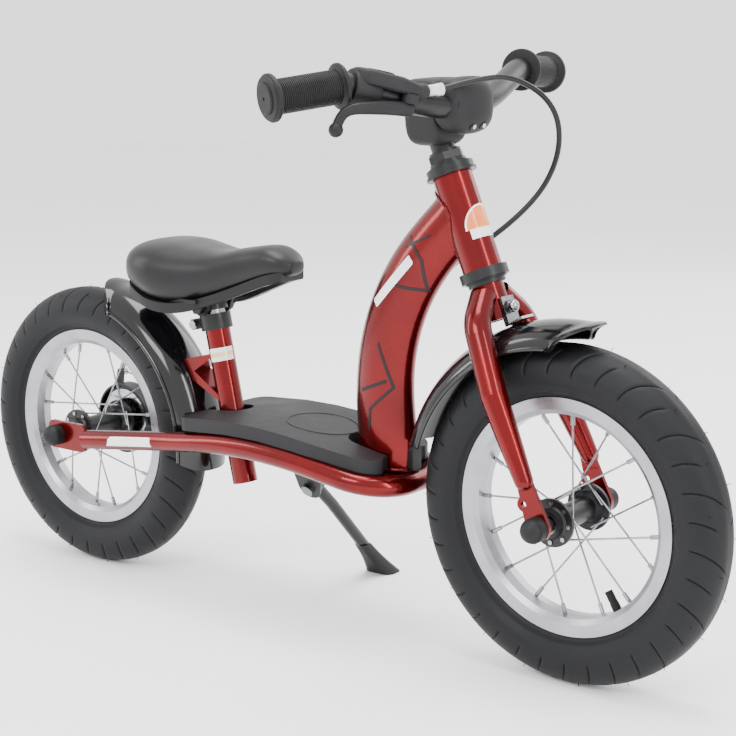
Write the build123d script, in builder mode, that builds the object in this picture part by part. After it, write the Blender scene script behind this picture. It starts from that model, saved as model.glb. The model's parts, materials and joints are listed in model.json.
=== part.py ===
"""A child's balance bike: steel frame, two spoked 12 inch wheels, band brake and kickstand.

Frame of reference, in millimetres: +X points forward, +Y to the rider's left, +Z up. The origin is
on the ground, midway between the two axles. Lengths along the bike are given from the rear axle
through from_rear(). The fork and the handlebar stand slightly turned at rest.
"""

import math
import os

from build123d import *

# Driving dimensions ---------------------------------------------------------------------------
WHEELBASE = 597.0
TYRE_RADIUS = 152.0
BEAD_RADIUS = 101.6
INNER_TUBE_RADIUS = 127.5
INNER_TUBE_SECTION = 20.2
RIM_RADIUS = 106.7
HEAD_ANGLE = 68.0
FORK_OFFSET = 9.0
FORK_TURN = -1.8
BAR_TURN = -6.9

STEERER_OD = 25.4
STEERER_BORE = 22.3
NECK_OD = 28.0
HEAD_TUBE_OD = 36.0
HEAD_TUBE_BORE = 30.0
HEAD_TUBE_START = 228.0
HEAD_TUBE_END = 316.0
SEAT_TUBE_OD = 25.4
POST_OD = 22.2
BASE_TUBE_OD = 20.0
HANDLEBAR_OD = 22.2
AXLE_OD = 9.5
CABLE_OD = 5.0
RUNNING = 0.05

HUB_FLANGE_Y = 30.0
HUB_FLANGE_RADIUS = 21.5
SPOKE_CIRCLE = 17.5
SPOKE_COUNT = 16
SPOKE_RADIUS = 0.9
DROPOUT_FRONT_Y = 49.0
DROPOUT_REAR_Y = 56.0
DROPOUT_THICKNESS = 4.0
MUDGUARD_RADIUS = 172.5
REAR_GUARD_RADIUS = 168.0
REAR_GUARD_SHIFT = 4.5
MUDGUARD_DEPTH = 21.5
MUDGUARD_HALF_WIDTH = 32.0
MUDGUARD_WALL = 2.2

REAR_X = -WHEELBASE / 2
FRONT_X = WHEELBASE / 2
AXLE_Z = TYRE_RADIUS


def from_rear(x, y, z):
    """A point given by its distance x ahead of the rear axle."""
    return Vector(REAR_X + x, y, z)


# Steering axis: the plane's normal runs up the axis, its x forward and its y to the left --------
SLOPE = math.radians(HEAD_ANGLE)
STEER = Plane(
    origin=(FRONT_X - FORK_OFFSET * math.sin(SLOPE), 0, AXLE_Z - FORK_OFFSET * math.cos(SLOPE)),
    x_dir=(math.sin(SLOPE), 0, math.cos(SLOPE)),
    z_dir=(-math.cos(SLOPE), 0, math.sin(SLOPE)),
)
STEERING_AXIS = Axis(STEER.origin, STEER.z_dir)

# Seat tube: its plane's normal runs up the tube ------------------------------------------------
SEAT_TUBE_LOW = from_rear(214.2, 0, 120.7)
SEAT_TUBE_TOP = from_rear(180.9, 0, 276.5)
SEAT_TUBE_LENGTH = (SEAT_TUBE_TOP - SEAT_TUBE_LOW).length
SEAT = Plane(origin=SEAT_TUBE_LOW, x_dir=(1, 0, 0.2137), z_dir=SEAT_TUBE_TOP - SEAT_TUBE_LOW)

# Centre line of the base tube on the right side, from the dropout to the front corner ----------
BASE_RIGHT = [
    from_rear(42, -58, 152),
    from_rear(150, -56, 165),
    from_rear(255, -60, 178),
    from_rear(332, -59, 171.5),
    from_rear(429, -54, 155),
]
BASE_RADII = [700, 500, 400, 48]
BASE_LOOP = BASE_RIGHT + [Vector(p.X, -p.Y, p.Z) for p in reversed(BASE_RIGHT)]
BASE_LOOP_RADII = BASE_RADII + BASE_RADII[::-1]

# Handlebar centre line, straight ahead, from the right grip's end to the middle ----------------
BAR_END = from_rear(434.3, -184.8, 521.0)
BAR_BEND = from_rear(456, -113, 527.6)
BAR_HUB = from_rear(482, -33, 504)
GRIP_LENGTH = 70.0

# Brake lever frame: x outboard along the bar, y forward, z up, origin on the bar's centre line --
LEVER = Plane(
    origin=BAR_HUB + (BAR_BEND - BAR_HUB) * 0.525,
    x_dir=BAR_BEND - BAR_HUB,
    z_dir=(0.0834, 0.2568, 0.962),
)
LEVER_PIVOT = (-11.3, 15.8)
ADJUSTER_ROOT = LEVER.from_local_coords((-22, 15, 9))
ADJUSTER_END = from_rear(496, -39, 520)
ADJUSTER_DIRECTION = (ADJUSTER_END - ADJUSTER_ROOT).normalized()

# Brake cable route: the loop starts at the bars, straight ahead; the rest is on the frame ------
CABLE_CLIP = from_rear(497, 22.5, 386)
LOOP_AT_BARS = [ADJUSTER_END, from_rear(506, -12, 526), from_rear(523, 24, 528)]
LOOP_MIDDLE = [from_rear(544, 54, 503), from_rear(545, 61, 458), from_rear(523, 48, 412)]
CABLE_ON_FRAME = [
    CABLE_CLIP,
    from_rear(464, 23.5, 366),
    from_rear(436, 12, 336),
    from_rear(412, 5, 295),
    from_rear(399, 4, 240),
    from_rear(392, 6, 190),
    from_rear(383, 14, 148),
    from_rear(345, 34, 145),
    from_rear(290, 42, 156),
    from_rear(230, 41, 162),
    from_rear(170, 42, 158),
    from_rear(120, 41, 159),
    from_rear(80, 50, 172),
]
CABLE_STOP = from_rear(48, 54, 186)
ARM_PIVOT = from_rear(-24, 0, 172)
ANCHOR = from_rear(-19, 53.5, 199)

KICKSTAND_PIVOT = from_rear(279, 33, 124)
KICKSTAND_FOOT = from_rear(279, 146, 0)
KICKSTAND_AXIS = Vector(0, math.cos(math.radians(30)), math.sin(math.radians(30)))


def mirrored(point):
    """The point on the other side of the bike."""
    return Vector(point.X, -point.Y, point.Z)


def bars_turned(point):
    """Where a point of the straight-ahead handlebar stands at rest."""
    return point.rotate(STEERING_AXIS, BAR_TURN)


def write(piece, name, turn=0.0):
    """Label a finished piece, turn it about the steering axis and write its STEP file."""
    part = piece.part.rotate(STEERING_AXIS, turn) if turn else piece.part
    part.label = name
    export_step(part, f"parts/{name}.step")


def sleeve(plane, outer_radius, inner_radius, start, end, mode=Mode.ADD):
    """A round sleeve, or a bar where inner_radius is 0, from start to end along the plane's normal."""
    with BuildSketch(plane.offset(start)) as ring:
        Circle(outer_radius)
        if inner_radius:
            Circle(inner_radius, mode=Mode.SUBTRACT)
    extrude(ring.sketch, amount=end - start, mode=mode)


def hexagon(plane, across_flats, inner_radius, start, end):
    """A hexagonal nut from start to end along the plane's normal."""
    with BuildSketch(plane.offset(start)) as outline:
        RegularPolygon(across_flats / 2, 6, major_radius=False)
        if inner_radius:
            Circle(inner_radius, mode=Mode.SUBTRACT)
    extrude(outline.sketch, amount=end - start)


def rod(start, end, radius, mode=Mode.ADD):
    """A straight round bar between two points."""
    start, end = Vector(start), Vector(end)
    sleeve(Plane(origin=start, z_dir=end - start), radius, 0, 0, (end - start).length, mode)


def bent_tube(points, radii, outer_radius, inner_radius=0.0, mode=Mode.ADD):
    """A round tube along straight runs joined by tangent arcs."""
    with BuildLine() as path:
        FilletPolyline(*points, radius=radii)
    with BuildSketch(Plane(origin=path.line @ 0, z_dir=path.line % 0)) as ring:
        Circle(outer_radius)
        if inner_radius:
            Circle(inner_radius, mode=Mode.SUBTRACT)
    sweep(ring.sketch, path=path.line, mode=mode)


def smooth_radii(points):
    """The largest even arc at each corner of a route: 0.45 of its shorter run as tangent length."""
    radii = []
    for before, corner, after in zip(points, points[1:], points[2:]):
        run_in, run_out = corner - before, after - corner
        half_turn = math.radians(run_in.get_angle(run_out)) / 2
        radii.append(0.45 * min(run_in.length, run_out.length) / math.tan(half_turn))
    return radii


def radial_plane(centre_x, degrees, centre_z=AXLE_Z):
    """A plane through a crosswise axis: x outward at this angle above forward, y to the left."""
    angle = math.radians(degrees)
    return Plane(
        origin=(centre_x, 0, centre_z),
        x_dir=(math.cos(angle), 0, math.sin(angle)),
        z_dir=(-math.sin(angle), 0, math.cos(angle)),
    )


def around_axle(centre_x, radius, degrees, y=0.0, centre_z=AXLE_Z):
    """A point at a radius and an angle round an axle, or round another crosswise axis."""
    angle = math.radians(degrees)
    return Vector(centre_x + radius * math.cos(angle), y, centre_z + radius * math.sin(angle))


def across(centre_x, centre_z, y=0.0):
    """A plane facing left, with x forward and y down, centred on a crosswise axis."""
    return Plane(origin=(centre_x, y, centre_z), x_dir=(1, 0, 0), z_dir=(0, 1, 0))


CABLE_ROUTE = CABLE_ON_FRAME + [CABLE_STOP]
CABLE_RADII = smooth_radii(CABLE_ROUTE)
CABLE_END_DIRECTION = (CABLE_STOP - CABLE_ON_FRAME[-1]).normalized()

# Bolt planes: the normal runs out through the bolt's head --------------------------------------
GUARD_BOLT_ANGLE = 31.2
REAR_GUARD_X = REAR_X + REAR_GUARD_SHIFT
REAR_GUARD_Z = AXLE_Z - REAR_GUARD_SHIFT
GUARD_BOLT = Plane(
    origin=around_axle(REAR_GUARD_X, REAR_GUARD_RADIUS, GUARD_BOLT_ANGLE, centre_z=REAR_GUARD_Z),
    z_dir=radial_plane(REAR_GUARD_X, GUARD_BOLT_ANGLE).x_dir,
)
TILT_AXIS = Plane(
    origin=SEAT.from_local_coords((0, 0, SEAT_TUBE_LENGTH + 24)), x_dir=(1, 0, 0), z_dir=(0, 1, 0)
)
TILT_BOLT_RADIUS = 4.0
CLAMP_BOLT = Plane(origin=SEAT.from_local_coords((-23, 0, SEAT_TUBE_LENGTH + 7.5)), z_dir=(0, -1, 0))


# Wheels ------------------------------------------------------------------------------------------
def spoke_ends(centre_x, index, first_angle):
    """The hub end and the rim end of one spoke; neighbours cross, and alternate sides."""
    side = 1 if index % 2 else -1
    leading = (index // 2) % 2 == 0
    rim_angle = first_angle + index * 360 / SPOKE_COUNT
    hub_angle = rim_angle + (90 if leading else -90)
    hub_y = HUB_FLANGE_Y - (2.7 if leading else 5.6)
    hub_end = around_axle(centre_x, SPOKE_CIRCLE, hub_angle, side * hub_y)
    rim_end = around_axle(centre_x, 90.2, rim_angle, side * 3)
    return hub_end, rim_end, side


def wheel(prefix, centre_x, valve_angle, turn):
    """Tyre, inner tube, rim, spokes, hub and bearings of one wheel."""
    section = radial_plane(centre_x, 0)
    axle = Axis((centre_x, 0, AXLE_Z), (0, 1, 0))
    axle_plane = across(centre_x, AXLE_Z)
    first_spoke = valve_angle + 180 / SPOKE_COUNT

    with BuildPart() as tyre:
        with BuildSketch(section):
            with BuildLine() as outline:
                Polyline((BEAD_RADIUS, 8.6), (BEAD_RADIUS, 12.4), (107, 12.4))
                ThreePointArc((107, 12.4), (115, 21.2), (126, 25))
                ThreePointArc((126, 25), (143.6, 19.2), (151.6, 7))
                Polyline((151.6, 7), (TYRE_RADIUS, 4), (TYRE_RADIUS, 0))
                Polyline((149, 0), (148.6, 6.2))
                ThreePointArc((148.6, 6.2), (141.4, 16.8), (126, 22.2))
                ThreePointArc((126, 22.2), (114.5, 18.4), (107, 9.8))
                Line((107, 9.8), (BEAD_RADIUS, 8.6))
                mirror(outline.line, about=Plane.XZ)
            make_face()
        revolve(axis=axle)
    write(tyre, f"{prefix}_tyre", turn)

    valve_root = around_axle(centre_x, INNER_TUBE_RADIUS - INNER_TUBE_SECTION - 0.1, valve_angle)
    valve_neck = around_axle(centre_x, 84, valve_angle)
    valve_tip = around_axle(centre_x, 73, valve_angle)
    with BuildPart() as inner_tube:
        with BuildSketch(section):
            with Locations((INNER_TUBE_RADIUS, 0)):
                Circle(INNER_TUBE_SECTION)
                Circle(INNER_TUBE_SECTION - 1, mode=Mode.SUBTRACT)
        revolve(axis=axle)
        rod(valve_root, valve_neck, 4.0)
        rod(valve_neck, valve_tip, 3.6)
    write(inner_tube, f"{prefix}_inner_tube", turn)

    with BuildPart() as rim:
        with BuildSketch(section):
            with BuildLine() as outline:
                Polyline(
                    (98, 0), (98, 6), (101.5, 8), (101.5, 12.5), (RIM_RADIUS, 12.5),
                    (RIM_RADIUS, 14.4), (96, 13.6), (91.5, 10), (90.5, 0),
                )
                mirror(outline.line, about=Plane.XZ)
            make_face()
        revolve(axis=axle)
        valve_hole = [around_axle(centre_x, radius, valve_angle) for radius in (110, 80)]
        rod(*valve_hole, 4.2, Mode.SUBTRACT)
    write(rim, f"{prefix}_rim", turn)

    with BuildPart() as hub:
        with BuildSketch(section):
            with BuildLine() as outline:
                Polyline(
                    (6.5, 0), (6.5, 28), (9, 28), (9, 38), (12.5, 38), (13.6, 33), (15.2, 31.5),
                    (HUB_FLANGE_RADIUS, 31.5), (HUB_FLANGE_RADIUS, 28.5), (15, 28.5), (11, 24), (11, 0),
                )
                mirror(outline.line, about=Plane.XZ)
            make_face()
        revolve(axis=axle)
        for index in range(SPOKE_COUNT):
            hub_end, _, side = spoke_ends(centre_x, index, first_spoke)
            hole_end = Vector(hub_end.X, side * (HUB_FLANGE_Y + 3), hub_end.Z)
            rod(Vector(hub_end.X, side * (HUB_FLANGE_Y - 3), hub_end.Z), hole_end, 1.2, Mode.SUBTRACT)
    write(hub, f"{prefix}_hub", turn)

    with BuildPart() as spokes:
        for index in range(SPOKE_COUNT):
            hub_end, rim_end, side = spoke_ends(centre_x, index, first_spoke)
            elbow = Vector(hub_end.X, side * (HUB_FLANGE_Y + 2.6), hub_end.Z)
            nipple_end = rim_end + (hub_end - rim_end).normalized() * 9
            rod(hub_end, elbow, SPOKE_RADIUS)
            rod(elbow, elbow + Vector(0, side * -1.0, 0), 2.0)
            rod(hub_end, rim_end, SPOKE_RADIUS)
            rod(rim_end, nipple_end, 1.9)
            with Locations(hub_end):
                Sphere(SPOKE_RADIUS)
    write(spokes, f"{prefix}_spokes", turn)

    with BuildPart() as bearings:
        for side in (-1, 1):
            near, far = sorted((side * 29, side * 37))
            sleeve(axle_plane, 9, AXLE_OD / 2 + RUNNING, near, far)
    write(bearings, f"{prefix}_hub_bearings", turn)


def axle_set(prefix, centre_x, dropout_y, turn, brake_room=0.0):
    """Axle, spacers, nuts and domed caps that clamp a wheel between two dropouts."""
    axle_plane = across(centre_x, AXLE_Z)
    outer_face = dropout_y + DROPOUT_THICKNESS
    with BuildPart() as axle:
        sleeve(axle_plane, AXLE_OD / 2, 0, -outer_face - 10, outer_face + 10)
        for side in (-1, 1):
            inner_end = 39 + (brake_room if side > 0 else 0)
            cone_start, cone_end = sorted((side * inner_end, side * dropout_y))
            nut_start, nut_end = sorted((side * outer_face, side * (outer_face + 7)))
            sleeve(axle_plane, 7.5, 0, cone_start, cone_end)
            hexagon(axle_plane, 15, 0, nut_start, nut_end)
    write(axle, f"{prefix}_axle_and_nuts", turn)

    with BuildPart() as caps:
        for side in (-1, 1):
            cap_centre = (centre_x, side * outer_face, AXLE_Z)
            cap_plane = Plane(origin=cap_centre, x_dir=(1, 0, 0), z_dir=(0, side, 0))
            sleeve(cap_plane, 11, 0, 0, 9)
            with Locations(cap_plane.offset(7)):
                Sphere(11)
            sleeve(cap_plane, 13, 0, -12, 0, Mode.SUBTRACT)
            sleeve(cap_plane, 9, 0, 0, 11.5, Mode.SUBTRACT)
    write(caps, f"{prefix}_nut_caps", turn)


def mudguard_arc(centre, radius, first_angle, last_angle, flare):
    """A stretch of mudguard round a crosswise axis, its outer skin swelling by the flare."""
    centre_x, centre_z = centre
    axis = Axis((centre_x, 0, centre_z), (0, -1, 0))
    edge = radius - MUDGUARD_DEPTH
    with BuildSketch(radial_plane(centre_x, first_angle, centre_z)) as section:
        with Locations((edge, 0)):
            Ellipse(MUDGUARD_DEPTH + flare, MUDGUARD_HALF_WIDTH + flare)
            Ellipse(MUDGUARD_DEPTH - MUDGUARD_WALL, MUDGUARD_HALF_WIDTH - MUDGUARD_WALL,
                    mode=Mode.SUBTRACT)
        with Locations((edge - 50, 0)):
            Rectangle(100, 100, mode=Mode.SUBTRACT)
    revolve(section.sketch, axis=axis, revolution_arc=last_angle - first_angle)


def mudguards():
    """The two deep plastic mudguards, each with a flared lip at its free end."""
    with BuildPart() as rear_guard:
        mudguard_arc((REAR_GUARD_X, REAR_GUARD_Z), REAR_GUARD_RADIUS, -7, 81, 0)
        mudguard_arc((REAR_GUARD_X, REAR_GUARD_Z), REAR_GUARD_RADIUS, 77, 81, 3)
        sleeve(GUARD_BOLT, 2.6, 0, -8, 5, Mode.SUBTRACT)
    write(rear_guard, "rear_mudguard")

    with BuildPart() as front_guard:
        mudguard_arc((FRONT_X, AXLE_Z), MUDGUARD_RADIUS, 80, 165.5, 0)
        mudguard_arc((FRONT_X, AXLE_Z), MUDGUARD_RADIUS, 80, 84, 3)
        for side in (-1, 1):
            leg = [steer_point(p, side) for p in (LEG_TOP, LEG_SHOULDER, LEG_KNEE)]
            bent_tube(leg, [34], LEG_RADIUS + 0.4, mode=Mode.SUBTRACT)
    write(front_guard, "front_mudguard", FORK_TURN)


# Frame -------------------------------------------------------------------------------------------
SPINE_BASE_X = REAR_X + 394.4
SPINE_BASE_Z = 166.0
SPINE_STRAIGHT_TOP = 238.0
SPINE_ARC_RADIUS = 201.0
SPINE_LEAN = 40.0
SPINE_STATIONS = 6
SPINE_CUT_RUN = 38.0
SPINE_END_RUN = 76.0


def spine_sections(inset, end_run=SPINE_CUT_RUN):
    """Oval sections of the spine tube from its base up, drawn in by the wall."""
    centre = (SPINE_BASE_X + SPINE_ARC_RADIUS, SPINE_STRAIGHT_TOP)
    stations = [(Vector(SPINE_BASE_X, 0, SPINE_BASE_Z), 0.0, 0.0)]
    for step in range(SPINE_STATIONS):
        lean = math.radians(SPINE_LEAN * step / (SPINE_STATIONS - 1))
        point = Vector(
            centre[0] - SPINE_ARC_RADIUS * math.cos(lean), 0, centre[1] + SPINE_ARC_RADIUS * math.sin(lean)
        )
        stations.append((point, lean, (step + 1) / (SPINE_STATIONS + 1)))
    end_lean = math.radians(SPINE_LEAN)
    last = stations[-1][0] + Vector(math.sin(end_lean), 0, math.cos(end_lean)) * end_run
    stations.append((last, end_lean, 1.0))
    sections = []
    for point, lean, share in stations:
        plane = Plane(origin=point, x_dir=(math.cos(lean), 0, -math.sin(lean)),
                      z_dir=(math.sin(lean), 0, math.cos(lean)))
        with BuildSketch(plane) as oval:
            Ellipse(31.8 - 4.6 * share - inset, 18.8 - 1.4 * share - inset)
        sections.append(oval.sketch)
    return sections


def base_sheet(raise_by, thickness, half_width, mode=Mode.ADD):
    """A sheet across the bike that follows the base tube at a height above its centre line."""
    stations = [(160, 169), (214, 174), (271, 175.6), (332, 171), (385, 162.5), (422, 155.5)]
    lower = [(REAR_X + x, z + raise_by) for x, z in stations]
    upper = [(x, z + thickness) for x, z in lower]
    with BuildSketch(Plane.XZ) as profile:
        with BuildLine():
            Spline(*lower)
            Spline(*upper)
            Line(lower[0], upper[0])
            Line(lower[-1], upper[-1])
        make_face()
    extrude(profile.sketch, amount=half_width, both=True, mode=mode)


def frame():
    """Welded steel frame: head tube, spine, base tube, deck plate, seat tube and dropouts."""
    with BuildPart() as head_tube:
        sleeve(STEER, HEAD_TUBE_OD / 2, HEAD_TUBE_BORE / 2, HEAD_TUBE_START, HEAD_TUBE_END)
    write(head_tube, "head_tube")

    with BuildPart() as base_tube:
        bent_tube(BASE_LOOP, BASE_LOOP_RADII, BASE_TUBE_OD / 2, BASE_TUBE_OD / 2 - 2)
    write(base_tube, "base_loop_tube")

    with BuildPart() as spine:
        loft(spine_sections(0, SPINE_END_RUN))
        loft(spine_sections(2, SPINE_END_RUN), mode=Mode.SUBTRACT)
        sleeve(STEER, HEAD_TUBE_OD / 2, 0, HEAD_TUBE_START - 30, HEAD_TUBE_END + 30, Mode.SUBTRACT)
        with BuildSketch(STEER.offset(HEAD_TUBE_START - 60)):
            with Locations((50, 0)):
                Rectangle(100, 100)
        extrude(amount=HEAD_TUBE_END - HEAD_TUBE_START + 120, mode=Mode.SUBTRACT)
        bent_tube(BASE_LOOP, BASE_LOOP_RADII, BASE_TUBE_OD / 2, mode=Mode.SUBTRACT)
        bent_tube(CABLE_ROUTE, CABLE_RADII, CABLE_OD / 2 + 0.8, mode=Mode.SUBTRACT)
    write(spine, "spine_tube")

    with BuildPart() as deck_plate:
        base_sheet(4, 3, 50)
        with BuildSketch(Plane.XY.offset(100)):
            with Locations((REAR_X + 297, 0)):
                RectangleRounded(242, 96, 30)
        extrude(amount=150, mode=Mode.INTERSECT)
        bent_tube(BASE_LOOP, BASE_LOOP_RADII, BASE_TUBE_OD / 2, mode=Mode.SUBTRACT)
        sleeve(SEAT, SEAT_TUBE_OD / 2, 0, 0, 120, Mode.SUBTRACT)
        loft(spine_sections(0), mode=Mode.SUBTRACT)
        bent_tube(CABLE_ROUTE, CABLE_RADII, CABLE_OD / 2 + 0.8, mode=Mode.SUBTRACT)
    write(deck_plate, "deck_plate")

    with BuildPart() as seat_tube:
        sleeve(SEAT, SEAT_TUBE_OD / 2, POST_OD / 2 + RUNNING, 0, SEAT_TUBE_LENGTH)
    write(seat_tube, "seat_tube")

    with BuildPart() as dropouts:
        for side in (-1, 1):
            face = Plane(origin=(REAR_X, side * DROPOUT_REAR_Y, AXLE_Z), x_dir=(1, 0, 0), z_dir=(0, side, 0))
            with BuildSketch(face) as plate:
                with Locations((14, 0)):
                    RectangleRounded(56, 30, 7)
                with Locations((-9, 0)):
                    Rectangle(18, AXLE_OD + 0.4, mode=Mode.SUBTRACT)
                Circle(AXLE_OD / 2 + 0.2, mode=Mode.SUBTRACT)
            extrude(plate.sketch, amount=DROPOUT_THICKNESS)
        bent_tube(BASE_LOOP, BASE_LOOP_RADII, BASE_TUBE_OD / 2, mode=Mode.SUBTRACT)
    write(dropouts, "rear_dropouts")

    with BuildPart() as deck_pad:
        base_sheet(10.3, 13.5, 63)
        with BuildSketch(Plane.XY.offset(100)):
            with BuildLine() as outline:
                Polyline((REAR_X + 180, 0), (REAR_X + 180, 49))
                RadiusArc((REAR_X + 180, 49), (REAR_X + 194, 63), 14)
                Polyline((REAR_X + 194, 63), (REAR_X + 340, 62), (REAR_X + 395, 54))
                RadiusArc((REAR_X + 395, 54), (REAR_X + 416, 34), 24)
                Polyline((REAR_X + 416, 34), (REAR_X + 412, 26), (REAR_X + 412, 0))
                mirror(outline.line, about=Plane.XZ)
            make_face()
            with Locations((REAR_X + 186, 0)):
                SlotOverall(72, 34, mode=Mode.SUBTRACT)
        extrude(amount=150, mode=Mode.INTERSECT)
        with BuildSketch(Plane.XY.offset(100)):
            with Locations((REAR_X + 400, 0)):
                SlotOverall(90, 41)
        extrude(amount=150, mode=Mode.SUBTRACT)
        bent_tube(BASE_LOOP, BASE_LOOP_RADII, BASE_TUBE_OD / 2 + 0.2, mode=Mode.SUBTRACT)
    write(deck_pad, "deck_pad")


def mudguard_fixings():
    """The bracket between the seat tube and the rear mudguard."""
    with BuildPart() as bracket:
        with BuildSketch(Plane.XZ.offset(-12)) as strip:
            with BuildLine():
                outside = REAR_GUARD_RADIUS + 0.3
                corner = around_axle(REAR_GUARD_X, outside, GUARD_BOLT_ANGLE + 3, centre_z=REAR_GUARD_Z)
                low = around_axle(REAR_GUARD_X, outside, GUARD_BOLT_ANGLE - 5, centre_z=REAR_GUARD_Z)
                Polyline(
                    (corner.X, corner.Z), (REAR_X + 184, 252), (REAR_X + 184, 249),
                    (low.X + 2.5, low.Z + 9.5),
                    (REAR_X + 196, 207), (REAR_X + 196, 202), (low.X, low.Z), close=True,
                )
            make_face()
        extrude(strip.sketch, amount=24)
        sleeve(SEAT, SEAT_TUBE_OD / 2, 0, 0, SEAT_TUBE_LENGTH, Mode.SUBTRACT)
        sleeve(across(REAR_GUARD_X, REAR_GUARD_Z), REAR_GUARD_RADIUS + 0.05, 0, -20, 20, Mode.SUBTRACT)
        sleeve(GUARD_BOLT, 2.6, 0, -10, 20, Mode.SUBTRACT)
        sleeve(GUARD_BOLT, 5.4, 0, 3.1, 30, Mode.SUBTRACT)
    write(bracket, "rear_mudguard_bracket")


def seat():
    """Seat clamp, seat post, saddle clamp, saddle base and saddle pad."""
    collar_start, collar_end = SEAT_TUBE_LENGTH - 1, SEAT_TUBE_LENGTH + 15
    lug = SEAT.offset(collar_start + 3)
    with BuildPart() as clamp:
        sleeve(SEAT, 16, POST_OD / 2 + 0.3, collar_start, collar_end)
        with BuildSketch(lug) as lugs:
            with Locations((-20, 0)):
                Rectangle(18, 14)
        extrude(lugs.sketch, amount=11)
        sleeve(SEAT, SEAT_TUBE_OD / 2, 0, 0, SEAT_TUBE_LENGTH, Mode.SUBTRACT)
        sleeve(SEAT, POST_OD / 2 + 0.3, 0, 0, collar_end + 1, Mode.SUBTRACT)
        with BuildSketch(SEAT) as slot:
            with Locations((-22, 0)):
                Rectangle(26, 2)
        extrude(slot.sketch, amount=collar_end + 5, mode=Mode.SUBTRACT)
        sleeve(CLAMP_BOLT, 2.6, 0, -10, 10, Mode.SUBTRACT)
    write(clamp, "seat_clamp")

    saddle_start = SEAT_TUBE_LENGTH + 19
    with BuildPart() as post:
        sleeve(SEAT, POST_OD / 2, POST_OD / 2 - 1.6, SEAT_TUBE_LENGTH - 70, saddle_start + 11)
    write(post, "seat_post")

    with BuildPart() as saddle_clamp:
        sleeve(SEAT, 14.5, POST_OD / 2, saddle_start, saddle_start + 11)
        for side in (-1, 1):
            near, far = sorted((side * 13, side * 25))
            sleeve(TILT_AXIS, TILT_BOLT_RADIUS, 0, near, far)
            nut_start, nut_end = sorted((side * 20.2, side * 25))
            hexagon(TILT_AXIS, 13, 0, nut_start, nut_end)
        sleeve(SEAT, POST_OD / 2, 0, 0, saddle_start + 20, Mode.SUBTRACT)
    write(saddle_clamp, "saddle_clamp")


SADDLE_STATIONS = [
    # distance from the rear axle, half width, lower edge, upper edge
    (89, 24, 328, 349),
    (97, 43, 318, 359),
    (113, 56, 309, 365),
    (140, 61, 300, 365),
    (168, 54, 299, 361),
    (200, 41, 307, 358),
    (233, 31, 319, 363),
    (262, 26, 330, 366),
    (279, 20, 335, 360),
    (288, 11, 340, 353),
]


def saddle_pocket():
    """Cut the room that the post and its clamp need under a saddle that tilts."""
    sleeve(SEAT, 19, 0, 0, SEAT_TUBE_LENGTH + 34, Mode.SUBTRACT)
    with BuildSketch(TILT_AXIS.offset(-26)) as room:
        Circle(14)
    extrude(room.sketch, amount=52, mode=Mode.SUBTRACT)


def saddle():
    """The saddle's padded cover as one closed form, on a thin plastic base."""
    with BuildPart() as pad:
        sections = []
        for x, half_width, low, high in SADDLE_STATIONS:
            plane = Plane(origin=(REAR_X + x, 0, (low + high) / 2), x_dir=(0, 1, 0), z_dir=(1, 0, 0))
            with BuildSketch(plane) as section:
                RectangleRounded(2 * half_width, high - low, 0.42 * (high - low))
            sections.append(section.sketch)
        loft(sections)
        saddle_pocket()
    write(pad, "saddle_pad")

    with BuildPart() as base:
        with BuildSketch(Plane.XZ.offset(-34)) as outline:
            low = [(REAR_X + x, z) for x, _, z, _ in SADDLE_STATIONS[2:8]]
            Polygon(*[(x, z + 5) for x, z in low], *[(x, z - 5) for x, z in reversed(low)], align=None)
        extrude(outline.sketch, amount=68)
        saddle_pocket()
        for side in (-1, 1):
            with BuildSketch(TILT_AXIS.offset(side * 15)) as cheek:
                Circle(9)
                with Locations((0, -14)):
                    Rectangle(30, 8)
                make_hull()
                Circle(TILT_BOLT_RADIUS + RUNNING, mode=Mode.SUBTRACT)
            extrude(cheek.sketch, amount=side * 4)
        add(pad.part, mode=Mode.SUBTRACT)
    write(base, "saddle_base")


# Fork and headset --------------------------------------------------------------------------------
LEG_TOP = (0, 11, 205)
LEG_SHOULDER = (0, 33.5, 183)
LEG_KNEE = (4, 47, 118)
LEG_END = (11, 53, 42)
LEG_RADIUS = 12.0


def steer_point(local, side=1):
    """A point given forward of, left of and up along the steering axis."""
    forward, left, along = local
    return STEER.from_local_coords((forward, left * side, along))


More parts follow.
